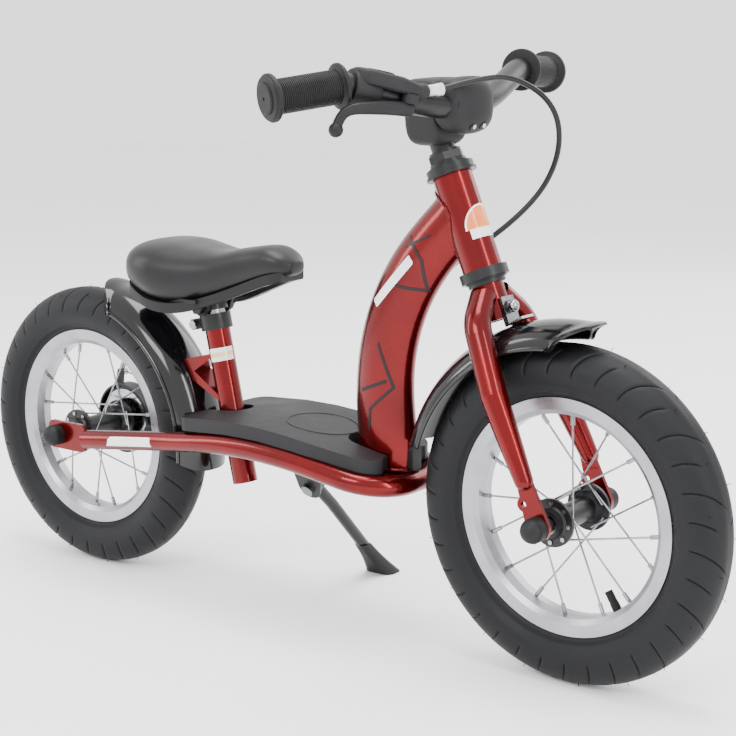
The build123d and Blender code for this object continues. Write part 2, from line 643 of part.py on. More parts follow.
def fork():
    """Steerer, two tapering legs with dropouts, and the front mudguard's fixings."""
    with BuildPart() as steerer:
        sleeve(STEER, NECK_OD / 2, STEERER_BORE / 2, 181, 214)
        sleeve(STEER, STEERER_OD / 2, STEERER_BORE / 2, 214, 338)
        rod(steer_point((0, 0, 189)), steer_point((20, 0, 189)), 3.1, Mode.SUBTRACT)
    write(steerer, "steerer_tube", FORK_TURN)

    with BuildPart() as legs:
        for side in (-1, 1):
            top, shoulder, knee, end = (
                steer_point(p, side) for p in (LEG_TOP, LEG_SHOULDER, LEG_KNEE, LEG_END)
            )
            bent_tube([top, shoulder, knee], [34], LEG_RADIUS)
            sections = []
            for point, direction, radius in (
                (knee, knee - shoulder, LEG_RADIUS),
                (knee * 0.5 + end * 0.5, end - knee, 10.4),
                (end, end - knee, 8.2),
            ):
                with BuildSketch(Plane(origin=point, z_dir=direction)) as section:
                    Circle(radius)
                sections.append(section.sketch)
            loft(sections)
            with Locations(end):
                Sphere(8.2)
        sleeve(STEER, NECK_OD / 2, 0, 150, 214, Mode.SUBTRACT)
    write(legs, "fork_legs", FORK_TURN)

    with BuildPart() as dropouts:
        for side in (-1, 1):
            face = Plane(origin=(FRONT_X, side * DROPOUT_FRONT_Y, AXLE_Z), x_dir=STEER.x_dir,
                         z_dir=(0, side, 0))
            up = -side
            with BuildSketch(face) as plate:
                with Locations((1, up * 44)):
                    Circle(7)
                Circle(11.5)
                make_hull()
                with Locations((-6, up * 23)):
                    Circle(6.5)
                with Locations((-6, up * 23)):
                    Circle(2.6, mode=Mode.SUBTRACT)
                with Locations((0, -up * 9)):
                    Rectangle(AXLE_OD + 0.4, 18, mode=Mode.SUBTRACT)
                Circle(AXLE_OD / 2 + 0.2, mode=Mode.SUBTRACT)
            extrude(plate.sketch, amount=DROPOUT_THICKNESS)
            knee, end = steer_point(LEG_KNEE, side), steer_point(LEG_END, side)
            sections = []
            for point, radius in ((knee * 0.5 + end * 0.5, 10.4), (end, 8.2)):
                with BuildSketch(Plane(origin=point, z_dir=end - knee)) as section:
                    Circle(radius)
                sections.append(section.sketch)
            loft(sections, mode=Mode.SUBTRACT)
            with Locations(end):
                Sphere(8.2, mode=Mode.SUBTRACT)
    write(dropouts, "fork_dropouts", FORK_TURN)

    guard_plane = radial_plane(FRONT_X, 113)
    guard_top = around_axle(FRONT_X, MUDGUARD_RADIUS + 0.2, 113)
    with BuildPart() as bracket:
        with BuildSketch(Plane.XZ.offset(-9)) as strip:
            with BuildLine():
                high = steer_point((14.1, 0, 199))
                corner = guard_top + guard_plane.z_dir * -4
                toe = guard_top + guard_plane.z_dir * -24
                top = steer_point((16.1, 0, 199))
                outer_corner = corner + guard_plane.x_dir * 2
                outer_toe = toe + guard_plane.x_dir * 4
                Polyline(
                    (high.X, high.Z), (top.X, top.Z), (outer_corner.X + 5, outer_corner.Z + 2),
                    (outer_toe.X, outer_toe.Z), (toe.X, toe.Z + 2), (corner.X, corner.Z), close=True,
                )
            make_face()
        extrude(strip.sketch, amount=18)
        sleeve(across(FRONT_X, AXLE_Z), MUDGUARD_RADIUS + 0.1, 0, -20, 20, Mode.SUBTRACT)
        sleeve(STEER, NECK_OD / 2 + 0.05, 0, 150, 230, Mode.SUBTRACT)
        rod(steer_point((0, 0, 189)), steer_point((40, 0, 189)), 3.1, Mode.SUBTRACT)
    write(bracket, "front_mudguard_bracket", FORK_TURN)

    with BuildPart() as crown_bolt:
        rod(steer_point((11.4, 0, 189)), steer_point((18, 0, 189)), 3)
        bolt = Plane(origin=steer_point((18, 0, 189)), z_dir=STEER.x_dir)
        sleeve(bolt, 6, 0, 0, 3)
        with Locations(bolt.offset(1.5)):
            Sphere(5.2)
        sleeve(Plane(origin=steer_point((0, 0, 189)), z_dir=STEER.x_dir), 8, 3, 0, 18, Mode.SUBTRACT)
    write(crown_bolt, "crown_bolt", FORK_TURN)


def headset():
    """Pressed cups on the head tube, and the race, lock nut and bearings that turn with the fork."""
    spigot = HEAD_TUBE_BORE / 2
    with BuildPart() as cups:
        sleeve(STEER, 22, 19.2, HEAD_TUBE_START - 9, HEAD_TUBE_START)
        sleeve(STEER, 20, 13.2, HEAD_TUBE_START - 2.5, HEAD_TUBE_START)
        sleeve(STEER, spigot, 13.2, HEAD_TUBE_START, HEAD_TUBE_START + 8)
        sleeve(STEER, spigot, 13.2, HEAD_TUBE_END - 8, HEAD_TUBE_END)
        sleeve(STEER, 23, 13.2, HEAD_TUBE_END, HEAD_TUBE_END + 2.5)
        sleeve(STEER, 21.5, 19.2, HEAD_TUBE_END + 2.5, HEAD_TUBE_END + 8.5)
    write(cups, "headset_cups")

    with BuildPart() as races:
        sleeve(STEER, 17, STEERER_OD / 2, 214, 217.5)
        sleeve(STEER, 18.8, STEERER_OD / 2, 217.5, 221)
        sleeve(STEER, 18.6, STEERER_OD / 2, 323.1, 326)
        sleeve(STEER, 16.5, STEERER_OD / 2, 326, 329)
        hexagon(STEER, 29, STEERER_OD / 2, 329.4, 336)
        sleeve(STEER, 14.5, STEERER_OD / 2, 336, 338.5)
    write(races, "headset_races", FORK_TURN)

    with BuildPart() as bearings:
        sleeve(STEER, 18.8, 13.4, 221.1, 225.3)
        sleeve(STEER, 18.8, 13.4, HEAD_TUBE_END + 2.6, HEAD_TUBE_END + 7)
    write(bearings, "headset_bearings", FORK_TURN)


# Handlebar ---------------------------------------------------------------------------------------
BAR_POINTS = [BAR_END, BAR_BEND, BAR_HUB, mirrored(BAR_HUB), mirrored(BAR_BEND), mirrored(BAR_END)]
BAR_RADII = [45, 120, 120, 45]
COVER_SPLIT_X = REAR_X + 472
COVER_SIDE_VIEW = [(431, 468), (474, 468), (495, 489), (498, 515), (488, 527), (458, 527), (432, 509)]
COVER_FRONT_VIEW = [(-22, 467), (22, 467), (43, 497), (43, 528), (-43, 528), (-43, 497)]


COVER_SCREWS = [Plane(origin=from_rear(484, y, 482), z_dir=(1, 0, -0.4)) for y in (-20, 20)]


def cover_block(inset):
    """The tapering block that the handlebar cover fills, drawn in by its wall thickness."""
    with BuildPart() as block:
        with BuildSketch(Plane.XZ.offset(-60)) as side_view:
            Polygon(*[(REAR_X + x, z) for x, z in COVER_SIDE_VIEW], align=None)
            fillet(side_view.vertices(), 5)
            if inset:
                offset(amount=-inset)
        extrude(side_view.sketch, amount=120)
        with BuildSketch(Plane.YZ.offset(REAR_X + 400)) as front_view:
            Polygon(*COVER_FRONT_VIEW, align=None)
            fillet(front_view.vertices(), 6)
            if inset:
                offset(amount=-inset)
        extrude(front_view.sketch, amount=150, mode=Mode.INTERSECT)
    return block.part


def handlebar():
    """Quill stem, handlebar, two grips and the two-part cover over the clamp."""
    with BuildPart() as stem:
        sleeve(STEER, POST_OD / 2, 0, 235, 377.9)
        hub_local = STEER.to_local_coords(Vector(BAR_HUB.X, 0, BAR_HUB.Z))
        rod(steer_point((0, 0, hub_local.Z)), steer_point((hub_local.X, 0, hub_local.Z)), 8)
        rod((BAR_HUB.X, -19, BAR_HUB.Z), (BAR_HUB.X, 19, BAR_HUB.Z), 15)
        bent_tube(BAR_POINTS, BAR_RADII, HANDLEBAR_OD / 2, mode=Mode.SUBTRACT)
        sleeve(STEER, 3.1, 0, 200, 400, Mode.SUBTRACT)
    write(stem, "stem", BAR_TURN)

    with BuildPart() as bar:
        bent_tube(BAR_POINTS, BAR_RADII, HANDLEBAR_OD / 2, HANDLEBAR_OD / 2 - 2)
        for end, bend in ((BAR_END, BAR_BEND), (mirrored(BAR_END), mirrored(BAR_BEND))):
            sleeve(Plane(origin=end, z_dir=bend - end), 20, 0, -1, 2, Mode.SUBTRACT)
    write(bar, "handlebar", BAR_TURN)

    with BuildPart() as grips:
        for end, bend in ((BAR_END, BAR_BEND), (mirrored(BAR_END), mirrored(BAR_BEND))):
            grip_plane = Plane(origin=end, z_dir=bend - end)
            sleeve(grip_plane, 14.6, HANDLEBAR_OD / 2, 0, GRIP_LENGTH)
            sleeve(grip_plane, 19.5, HANDLEBAR_OD / 2, GRIP_LENGTH - 4, GRIP_LENGTH)
            sleeve(grip_plane, 20, HANDLEBAR_OD / 2, 2, 7)
            sleeve(grip_plane, 18.5, 3, 0, 2)
            sleeve(grip_plane, 13, 3, -2, 0)
    write(grips, "grips", BAR_TURN)

    with BuildPart() as shell:
        add(cover_block(0))
        add(cover_block(2.6), mode=Mode.SUBTRACT)
        bent_tube(BAR_POINTS, BAR_RADII, 12.5, mode=Mode.SUBTRACT)
        rod((BAR_HUB.X, -19.2, BAR_HUB.Z), (BAR_HUB.X, 19.2, BAR_HUB.Z), 15.3, Mode.SUBTRACT)
        sleeve(STEER, 14, 0, 330, 362, Mode.SUBTRACT)
        for screw in COVER_SCREWS:
            sleeve(screw, 4, 0, -20, 20, Mode.SUBTRACT)
        rod(ADJUSTER_ROOT, ADJUSTER_END + ADJUSTER_DIRECTION * 4, 5.8, Mode.SUBTRACT)
    with BuildPart() as cover_front:
        add(shell.part)
        split(bisect_by=Plane(origin=(COVER_SPLIT_X + 0.1, 0, 0), z_dir=(1, 0, 0)), keep=Keep.TOP)
    write(cover_front, "bar_cover_front", BAR_TURN)
    with BuildPart() as cover_rear:
        add(shell.part)
        split(bisect_by=Plane(origin=(COVER_SPLIT_X - 0.1, 0, 0), z_dir=(-1, 0, 0)), keep=Keep.TOP)
    write(cover_rear, "bar_cover_rear", BAR_TURN)


def brake_lever():
    """Lever housing on the right of the bar, its lever, pivot pin and cable adjuster."""
    along_bar = Plane(origin=LEVER.origin, z_dir=LEVER.x_dir)
    with BuildPart() as housing:
        with BuildSketch(LEVER.offset(-4)) as outline:
            with Locations((24.5, 2)):
                Circle(15.5)
            with Locations((-8, 15)):
                Circle(9)
            with Locations((-20, 15)):
                Circle(6)
            make_hull()
        extrude(outline.sketch, amount=21)
        fillet(housing.faces().sort_by(Axis(LEVER.origin, LEVER.z_dir))[-1].edges(), 4)
        sleeve(along_bar, 15.5, 0, 28, 40)
        bent_tube(BAR_POINTS, BAR_RADII, HANDLEBAR_OD / 2, mode=Mode.SUBTRACT)
        pivot = LEVER.from_local_coords((*LEVER_PIVOT, 0))
        rod(pivot - LEVER.z_dir * 20, pivot + LEVER.z_dir * 7, 2.5, Mode.SUBTRACT)
        rod(ADJUSTER_ROOT, ADJUSTER_END, 4.1, Mode.SUBTRACT)
    write(housing, "lever_housing", BAR_TURN)

    with BuildPart() as fasteners:
        sleeve(STEER, 3, 0, 222, 378)
        sleeve(STEER, 6, 0, 378, 384)
        sleeve(STEER, 10.9, 0, 222, 234.5)
        rod(ADJUSTER_ROOT, ADJUSTER_END, 4)
        rod(ADJUSTER_END - ADJUSTER_DIRECTION * 7, ADJUSTER_END - ADJUSTER_DIRECTION * 2, 5.2)
        rod(pivot - LEVER.z_dir * 14, pivot + LEVER.z_dir * 6.5, 2.45)
        for screw in COVER_SCREWS:
            sleeve(screw, 3.4, 0, -12, 1.5)
    write(fasteners, "bar_fasteners", BAR_TURN)

    with BuildPart() as lever:
        blade_route = [(-11, 16, -9), (22, 20.5, -15), (47, 19.5, -24), (53, 19, -39)]
        blade = [LEVER.from_local_coords(p) for p in blade_route]
        bent_tube(blade, [60, 12], 4.4)
        with Locations(blade[-1]):
            Sphere(6.2)
        sleeve(Plane(origin=pivot, z_dir=LEVER.z_dir), 5.2, 0, -13, -4.6)
        rod(pivot - LEVER.z_dir * 20, pivot, 2.5, Mode.SUBTRACT)
    write(lever, "brake_lever", BAR_TURN)


# Rear brake, kickstand and cable -----------------------------------------------------------------
def rear_brake():
    """Band brake on the left of the rear hub: drum, band, cover, arm and cable hardware."""
    axle_plane = across(REAR_X, AXLE_Z)
    with BuildPart() as drum:
        sleeve(axle_plane, 32.5, 9.6, 38.2, 40.2)
        sleeve(axle_plane, 32.5, 29.5, 40.2, 47)
    write(drum, "brake_drum")

    with BuildPart() as band:
        sleeve(axle_plane, 35.2, 33, 39, 46.5)
        with BuildSketch(across(REAR_X - 29, AXLE_Z + 22)) as gap:
            Rectangle(16, 16)
        extrude(gap.sketch, amount=60, mode=Mode.SUBTRACT)
    write(band, "brake_band")

    with BuildPart() as cover:
        sleeve(axle_plane, 39, AXLE_OD / 2 + 2.8, 49, 51)
        sleeve(axle_plane, 39, 36.6, 35, 49)
        with BuildSketch(across(REAR_X, AXLE_Z, 44.6)) as strap:
            with Locations((59, 0)):
                Rectangle(43, 14)
        extrude(strap.sketch, amount=1.8)
        rod((ARM_PIVOT.X, 40, ARM_PIVOT.Z), (ARM_PIVOT.X, 60, ARM_PIVOT.Z), 3.05, Mode.SUBTRACT)
        for angle in (20, 80, 200, 260, 320):
            hole = around_axle(REAR_X, 22, angle)
            rod((hole.X, 40, hole.Z), (hole.X, 60, hole.Z), 2.5, Mode.SUBTRACT)
    write(cover, "brake_cover")

    with BuildPart() as arm:
        with BuildSketch(across(ARM_PIVOT.X, ARM_PIVOT.Z, 51.3)) as link:
            Circle(6)
            with Locations((ANCHOR.X - ARM_PIVOT.X, ARM_PIVOT.Z - ANCHOR.Z)):
                Circle(5)
            make_hull()
        extrude(link.sketch, amount=2.2)
        rod((ARM_PIVOT.X, 47.4, ARM_PIVOT.Z), (ARM_PIVOT.X, 56, ARM_PIVOT.Z), 3)
    write(arm, "brake_arm")

    with BuildPart() as anchor:
        rod((ANCHOR.X, 53.6, ANCHOR.Z), (ANCHOR.X, 61, ANCHOR.Z), 3.4)
        rod((ANCHOR.X, 57, ANCHOR.Z), (ANCHOR.X, 57, ANCHOR.Z + 9), 2.2)
    write(anchor, "cable_anchor_bolt")

    with BuildPart() as wire:
        rod(CABLE_STOP - CABLE_END_DIRECTION * 3, CABLE_STOP + CABLE_END_DIRECTION * 2, 0.8)
        rod(CABLE_STOP + CABLE_END_DIRECTION * 2, (ANCHOR.X + 4.2, 57, ANCHOR.Z + 1), 0.8)
    write(wire, "brake_inner_wire")


def kickstand():
    """Bracket under the deck, pivot bolt, splayed leg and rubber foot."""
    pivot = Plane(origin=KICKSTAND_PIVOT, x_dir=(1, 0, 0), z_dir=KICKSTAND_AXIS)
    leg_direction = (KICKSTAND_FOOT - KICKSTAND_PIVOT).normalized()
    foot_top = KICKSTAND_FOOT - leg_direction * 52
    with BuildPart() as bracket:
        with BuildSketch(pivot.offset(-11)) as cheek:
            Circle(13)
            with Locations((9, -42)):
                Rectangle(34, 40)
            make_hull()
        extrude(cheek.sketch, amount=3)
        with BuildSketch(pivot.offset(-8)) as web:
            with Locations((9, -46)):
                Rectangle(34, 32)
        extrude(web.sketch, amount=10)
        base_sheet(4, 40, 70, Mode.SUBTRACT)
        rod(KICKSTAND_PIVOT - KICKSTAND_AXIS * 20, KICKSTAND_PIVOT + KICKSTAND_AXIS * 20, 4, Mode.SUBTRACT)
        bent_tube(BASE_LOOP, BASE_LOOP_RADII, BASE_TUBE_OD / 2 + 0.2, mode=Mode.SUBTRACT)
        bent_tube(CABLE_ROUTE, CABLE_RADII, CABLE_OD / 2 + 0.5, mode=Mode.SUBTRACT)
    write(bracket, "kickstand_bracket")

    with BuildPart() as leg:
        sleeve(pivot, 10.5, 0, -7.7, 3.2)
        bent_tube([KICKSTAND_PIVOT + KICKSTAND_AXIS * -2.5, KICKSTAND_PIVOT + leg_direction * 40,
                   foot_top + leg_direction * 12], [60], 6)
        sleeve(pivot, 4, 0, -20, 20, Mode.SUBTRACT)
    write(leg, "kickstand_leg")

    with BuildPart() as foot:
        sections = []
        for share, half_length, half_width in ((0, 8, 8), (0.35, 9.5, 9.5), (1, 18, 13)):
            centre = foot_top + (KICKSTAND_FOOT - foot_top) * share
            with BuildSketch(Plane(origin=centre, x_dir=(1, 0, 0), z_dir=(0, 0, -1))) as section:
                RectangleRounded(2 * half_length, 2 * half_width, 0.8 * half_width)
            sections.append(section.sketch)
        loft(sections)
        rod(foot_top - leg_direction * 20, foot_top + leg_direction * 12, 6, Mode.SUBTRACT)
    write(foot, "kickstand_foot")


def cables():
    """Brake cable: the loop from the lever to the frame, the run along the frame, and its clips."""
    start = [bars_turned(p) for p in LOOP_AT_BARS]
    loop_end = CABLE_CLIP + (LOOP_MIDDLE[-1] - CABLE_CLIP).normalized() * 2
    loop_points = start + LOOP_MIDDLE + [loop_end]
    loop_radii = smooth_radii(loop_points)
    with BuildPart() as loop:
        bent_tube(loop_points, loop_radii, CABLE_OD / 2)
    write(loop, "brake_cable_loop")

    with BuildPart() as run:
        bent_tube(CABLE_ROUTE[:-1] + [CABLE_STOP - (CABLE_STOP - CABLE_ROUTE[-2]).normalized() * 3],
                  CABLE_RADII, CABLE_OD / 2)
    write(run, "brake_cable_run")


def small_fittings():
    """The frame's bolts, and the guides that hold the brake cable to the frame."""
    pivot = Plane(origin=KICKSTAND_PIVOT, x_dir=(1, 0, 0), z_dir=KICKSTAND_AXIS)
    with BuildPart() as bolts:
        sleeve(GUARD_BOLT, 2.5, 0, -6, 6.5)
        hexagon(GUARD_BOLT, 8, 0, 3.2, 6.5)
        sleeve(GUARD_BOLT, 5, 0, -5, -MUDGUARD_WALL - 0.2)
        sleeve(CLAMP_BOLT, 2.5, 0, -11, 7)
        sleeve(CLAMP_BOLT, 4.3, 0, 7, 12)
        hexagon(CLAMP_BOLT, 8, 0, -11, -7)
        sleeve(pivot, 3.95, 0, -14, 9)
        sleeve(pivot, 6.5, 0, -15.5, -11.05)
        sleeve(pivot, 6.5, 0, 6.2, 10)
    write(bolts, "frame_bolts")

    with BuildPart() as guides:
        clip_plane = Plane(origin=CABLE_CLIP, z_dir=CABLE_ON_FRAME[1] - CABLE_CLIP)
        sleeve(clip_plane, CABLE_OD / 2 + 1.2, CABLE_OD / 2, 2, 8)
        grommet = Plane(origin=CABLE_ON_FRAME[1] * 0.35 + CABLE_ON_FRAME[2] * 0.65,
                        z_dir=CABLE_ON_FRAME[2] - CABLE_ON_FRAME[1])
        sleeve(grommet, CABLE_OD / 2 + 2.5, CABLE_OD / 2, -3, 1)
        with BuildSketch(Plane(origin=(REAR_X + 424, 0, 178), x_dir=(0, 1, 0), z_dir=(1, 0, 0))) as face:
            RectangleRounded(14, 24, 4)
        extrude(face.sketch, amount=7)
        with BuildSketch(Plane.XZ.offset(-52.6)) as post:
            Polygon(
                (CABLE_STOP.X - 1, CABLE_STOP.Z - 2), (CABLE_STOP.X + 8, CABLE_STOP.Z - 4),
                (REAR_X + 66, AXLE_Z + 11), (REAR_X + 50, AXLE_Z + 11), align=None,
            )
        extrude(post.sketch, amount=-3)
        rod(CABLE_STOP, CABLE_STOP - CABLE_END_DIRECTION * 9, 4.2)
        rod(CABLE_STOP - CABLE_END_DIRECTION * 3, CABLE_STOP - CABLE_END_DIRECTION * 30, CABLE_OD / 2,
            Mode.SUBTRACT)
        rod(CABLE_STOP + CABLE_END_DIRECTION * 5, CABLE_STOP - CABLE_END_DIRECTION * 10, 0.9, Mode.SUBTRACT)
        loft(spine_sections(0), mode=Mode.SUBTRACT)
        sleeve(STEER, HEAD_TUBE_OD / 2, 0, HEAD_TUBE_START, HEAD_TUBE_END, Mode.SUBTRACT)
        bent_tube(BASE_LOOP, BASE_LOOP_RADII, BASE_TUBE_OD / 2, mode=Mode.SUBTRACT)
        bent_tube(CABLE_ROUTE, CABLE_RADII, CABLE_OD / 2, mode=Mode.SUBTRACT)
    write(guides, "cable_guides")


def write_all():
    """Build every sub-part of the bike."""
    wheel("rear", REAR_X, 3, 0)
    wheel("front", FRONT_X, -58, FORK_TURN)
    axle_set("rear", REAR_X, DROPOUT_REAR_Y, 0, brake_room=12.5)
    axle_set("front", FRONT_X, DROPOUT_FRONT_Y, FORK_TURN)
    mudguards()
    frame()
    mudguard_fixings()
    seat()
    saddle()
    fork()
    headset()
    handlebar()
    brake_lever()
    rear_brake()
    kickstand()
    cables()
    small_fittings()


if __name__ == "__main__":
    os.makedirs("parts", exist_ok=True)
    write_all()
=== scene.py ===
"""Balance bike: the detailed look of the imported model, in metres, in the frame of the CAD part.

+X points forward, +Y to the rider's left and +Z up. The origin is on the ground, midway between
the axles. Sizes named here in millimetres are turned into metres where they are used.
"""

import json
import math
import random

import bmesh
import bpy
from mathutils import Matrix, Vector


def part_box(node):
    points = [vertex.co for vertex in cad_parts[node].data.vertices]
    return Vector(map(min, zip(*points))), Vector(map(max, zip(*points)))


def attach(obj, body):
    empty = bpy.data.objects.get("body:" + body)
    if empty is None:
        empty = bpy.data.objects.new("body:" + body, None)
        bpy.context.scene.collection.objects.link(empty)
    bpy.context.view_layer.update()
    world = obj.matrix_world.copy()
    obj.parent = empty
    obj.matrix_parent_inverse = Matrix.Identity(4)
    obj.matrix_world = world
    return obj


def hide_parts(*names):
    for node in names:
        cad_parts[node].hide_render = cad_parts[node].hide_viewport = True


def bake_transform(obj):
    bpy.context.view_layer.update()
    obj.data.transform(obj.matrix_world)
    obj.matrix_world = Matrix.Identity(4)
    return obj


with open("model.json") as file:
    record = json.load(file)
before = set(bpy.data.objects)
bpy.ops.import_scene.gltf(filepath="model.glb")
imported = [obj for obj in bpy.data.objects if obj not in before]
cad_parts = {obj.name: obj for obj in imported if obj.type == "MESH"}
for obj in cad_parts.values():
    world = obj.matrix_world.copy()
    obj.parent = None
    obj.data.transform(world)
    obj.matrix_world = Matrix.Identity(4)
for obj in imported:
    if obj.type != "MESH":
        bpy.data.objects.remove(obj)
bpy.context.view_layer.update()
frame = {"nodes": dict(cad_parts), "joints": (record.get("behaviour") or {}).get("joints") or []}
NODES = frame["nodes"]
MM = 0.001

# Places taken from the frame --------------------------------------------------------------------
def middle(node):
    low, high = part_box(node)
    return (low + high) / 2


JOINTS = {joint["name"]: joint for joint in frame["joints"]}
STEER_POINT = Vector(JOINTS["steering"]["pos_m"])
STEER_AXIS = Vector(JOINTS["steering"]["axis"]).normalized()
STEER_FORWARD = Vector((0, 1, 0)).cross(STEER_AXIS).normalized()
STEER_FOOT = STEER_POINT - STEER_AXIS * 0.27
REAR_AXLE = middle("rear_rim")
FRONT_AXLE = middle("front_rim")
FORK_TURN = math.radians(-1.8)
BAR_TURN = math.radians(-6.9)
Y_AXIS = Vector((0, 1, 0))


def turned(vector, angle):
    """A direction turned about the steering axis."""
    return Matrix.Rotation(angle, 3, STEER_AXIS) @ Vector(vector)


def turned_point(point, angle):
    """A point turned about the steering axis."""
    return STEER_POINT + turned(Vector(point) - STEER_POINT, angle)


def from_rear(x, y, z):
    """A point from its distance ahead of the rear axle, in millimetres."""
    return Vector((REAR_AXLE.x + x * MM, y * MM, z * MM))


# Camera, light and floor ------------------------------------------------------------------------
def look_direction(yaw, pitch):
    """A viewing direction from its angle left of straight ahead and its angle down."""
    return Vector((
        math.sin(yaw) * math.cos(pitch), math.cos(yaw) * math.cos(pitch), -math.sin(pitch)
    ))


def add_camera():
    yaw, pitch, roll = math.radians(-37.83), math.radians(11.09), math.radians(-0.49)
    forward = look_direction(yaw, pitch)
    right = Vector((math.cos(yaw), -math.sin(yaw), 0))
    up = right.cross(forward)
    rolled_right = math.cos(roll) * right + math.sin(roll) * up
    rolled_up = -math.sin(roll) * right + math.cos(roll) * up
    camera = bpy.data.objects.new("camera", bpy.data.cameras.new("camera"))
    bpy.context.scene.collection.objects.link(camera)
    rotation = Matrix((rolled_right, rolled_up, -forward)).transposed()
    camera.matrix_world = Matrix.Translation((0.9784, -1.1628, 0.5455)) @ rotation.to_4x4()
    camera.data.lens = 77.68
    camera.data.sensor_width = 36
    camera.data.clip_start = 0.05
    bpy.context.scene.camera = camera


def add_area_light(name, place, target, size, power):
    light = bpy.data.lights.new(name, "AREA")
    light.shape = "RECTANGLE"
    light.size, light.size_y = size
    light.energy = power
    lamp = bpy.data.objects.new(name, light)
    bpy.context.scene.collection.objects.link(lamp)
    lamp.location = place
    lamp.rotation_euler = (Vector(target) - Vector(place)).to_track_quat("-Z", "Y").to_euler()


def add_studio():
    world = bpy.data.worlds.new("studio")
    bpy.context.scene.world = world
    world.use_nodes = True
    background = world.node_tree.nodes["Background"]
    background.inputs["Color"].default_value = (1.0, 1.0, 1.0, 1)
    background.inputs["Strength"].default_value = 1.9
    add_area_light("key_right", (0.2, -2.2, 1.9), (0, 0, 0.2), (1.3, 0.8), 40)
    add_area_light("top_soft", (0.1, 0.1, 2.4), (0, 0, 0.2), (1.8, 1.0), 62)
    add_area_light("front_strip", (2.3, -0.5, 1.1), (0.2, 0, 0.3), (0.3, 1.8), 26)
    add_area_light("rear_strip", (-2.0, -1.3, 1.3), (-0.2, 0, 0.25), (0.4, 1.8), 22)
    add_area_light("left_fill", (0.4, 2.4, 1.5), (0, 0, 0.2), (1.8, 1.2), 26)


def add_floor():
    bpy.ops.mesh.primitive_plane_add(size=14, location=(0, 0, -0.0005))
    floor = bpy.context.object
    floor.name = "floor"
    floor.data.materials.append(FLOOR)


# Materials --------------------------------------------------------------------------------------
def shader_material(name, **settings):
    """A material with one Principled shader; settings are its plain socket values."""
    material = bpy.data.materials.new(name)
    material.use_nodes = True
    shader = material.node_tree.nodes["Principled BSDF"]
    for socket, value in settings.items():
        shader.inputs[socket.replace("_", " ")].default_value = value
    return material


def add_node(material, kind, **values):
    """A shader node; values name its input sockets by index or name."""
    node = material.node_tree.nodes.new(kind)
    for key, value in values.items():
        node.inputs[key.replace("_", " ")].default_value = value
    return node


def object_coordinates(material, scale=(1, 1, 1)):
    """Coordinates in metres that stay with the piece."""
    tree = material.node_tree
    coordinate = tree.nodes.new("ShaderNodeTexCoord")
    mapping = tree.nodes.new("ShaderNodeMapping")
    mapping.inputs["Scale"].default_value = scale
    tree.links.new(coordinate.outputs["Object"], mapping.inputs["Vector"])
    return mapping.outputs["Vector"]


def noise(material, vector, scale, detail=3.0, roughness=0.55):
    node = add_node(material, "ShaderNodeTexNoise", Scale=scale, Detail=detail, Roughness=roughness)
    material.node_tree.links.new(vector, node.inputs["Vector"])
    return node.outputs["Fac"]


def ramp(material, factor, low, high, start=0.35, end=0.65):
    """Maps a factor to a colour between low and high."""
    tree = material.node_tree
    node = tree.nodes.new("ShaderNodeValToRGB")
    node.color_ramp.elements[0].position = start
    node.color_ramp.elements[1].position = end
    node.color_ramp.elements[0].color = (*low, 1)
    node.color_ramp.elements[1].color = (*high, 1)
    tree.links.new(factor, node.inputs["Fac"])
    return node.outputs["Color"]


def value_range(material, factor, low, high):
    """Maps a factor from 0.3..0.7 to a range of numbers."""
    tree = material.node_tree
    node = tree.nodes.new("ShaderNodeMapRange")
    node.inputs["From Min"].default_value = 0.3
    node.inputs["From Max"].default_value = 0.7
    node.inputs["To Min"].default_value = low
    node.inputs["To Max"].default_value = high
    tree.links.new(factor, node.inputs["Value"])
    return node.outputs["Result"]


def connect(material, output, socket):
    shader = material.node_tree.nodes["Principled BSDF"]
    material.node_tree.links.new(output, shader.inputs[socket])


def bump(material, height, strength, distance):
    tree = material.node_tree
    node = add_node(material, "ShaderNodeBump", Strength=strength, Distance=distance)
    tree.links.new(height, node.inputs["Height"])
    connect(material, node.outputs["Normal"], "Normal")


def finish_material(name, low, high, rough, colour_scale, bump_scale, bump_strength, bump_size, **settings):
    """Noise that varies the colour, the roughness and the surface height of one shader."""
    material = shader_material(name, **settings)
    vector = object_coordinates(material)
    broad = noise(material, vector, colour_scale)
    connect(material, ramp(material, broad, low, high), "Base Color")
    connect(material, value_range(material, broad, *rough), "Roughness")
    if bump_strength:
        fine = noise(material, vector, bump_scale, 2.0)
        bump(material, fine, bump_strength, bump_size)
    return material


def flake_paint(name, low, high):
    """Candy lacquer over fine metal flakes."""
    material = shader_material(
        name, Metallic=0.85, Roughness=0.24, Coat_Weight=0.35, Coat_Roughness=0.03, Coat_IOR=1.45
    )
    vector = object_coordinates(material)
    broad = noise(material, vector, 14.0)
    flakes = noise(material, vector, 2600.0, 1.0)
    mix = material.node_tree.nodes.new("ShaderNodeMixRGB")
    mix.inputs["Fac"].default_value = 0.35
    material.node_tree.links.new(ramp(material, broad, low, high), mix.inputs["Color1"])
    material.node_tree.links.new(ramp(material, flakes, low, high, 0.42, 0.6), mix.inputs["Color2"])
    connect(material, mix.outputs["Color"], "Base Color")
    connect(material, value_range(material, flakes, 0.2, 0.3), "Roughness")
    return material


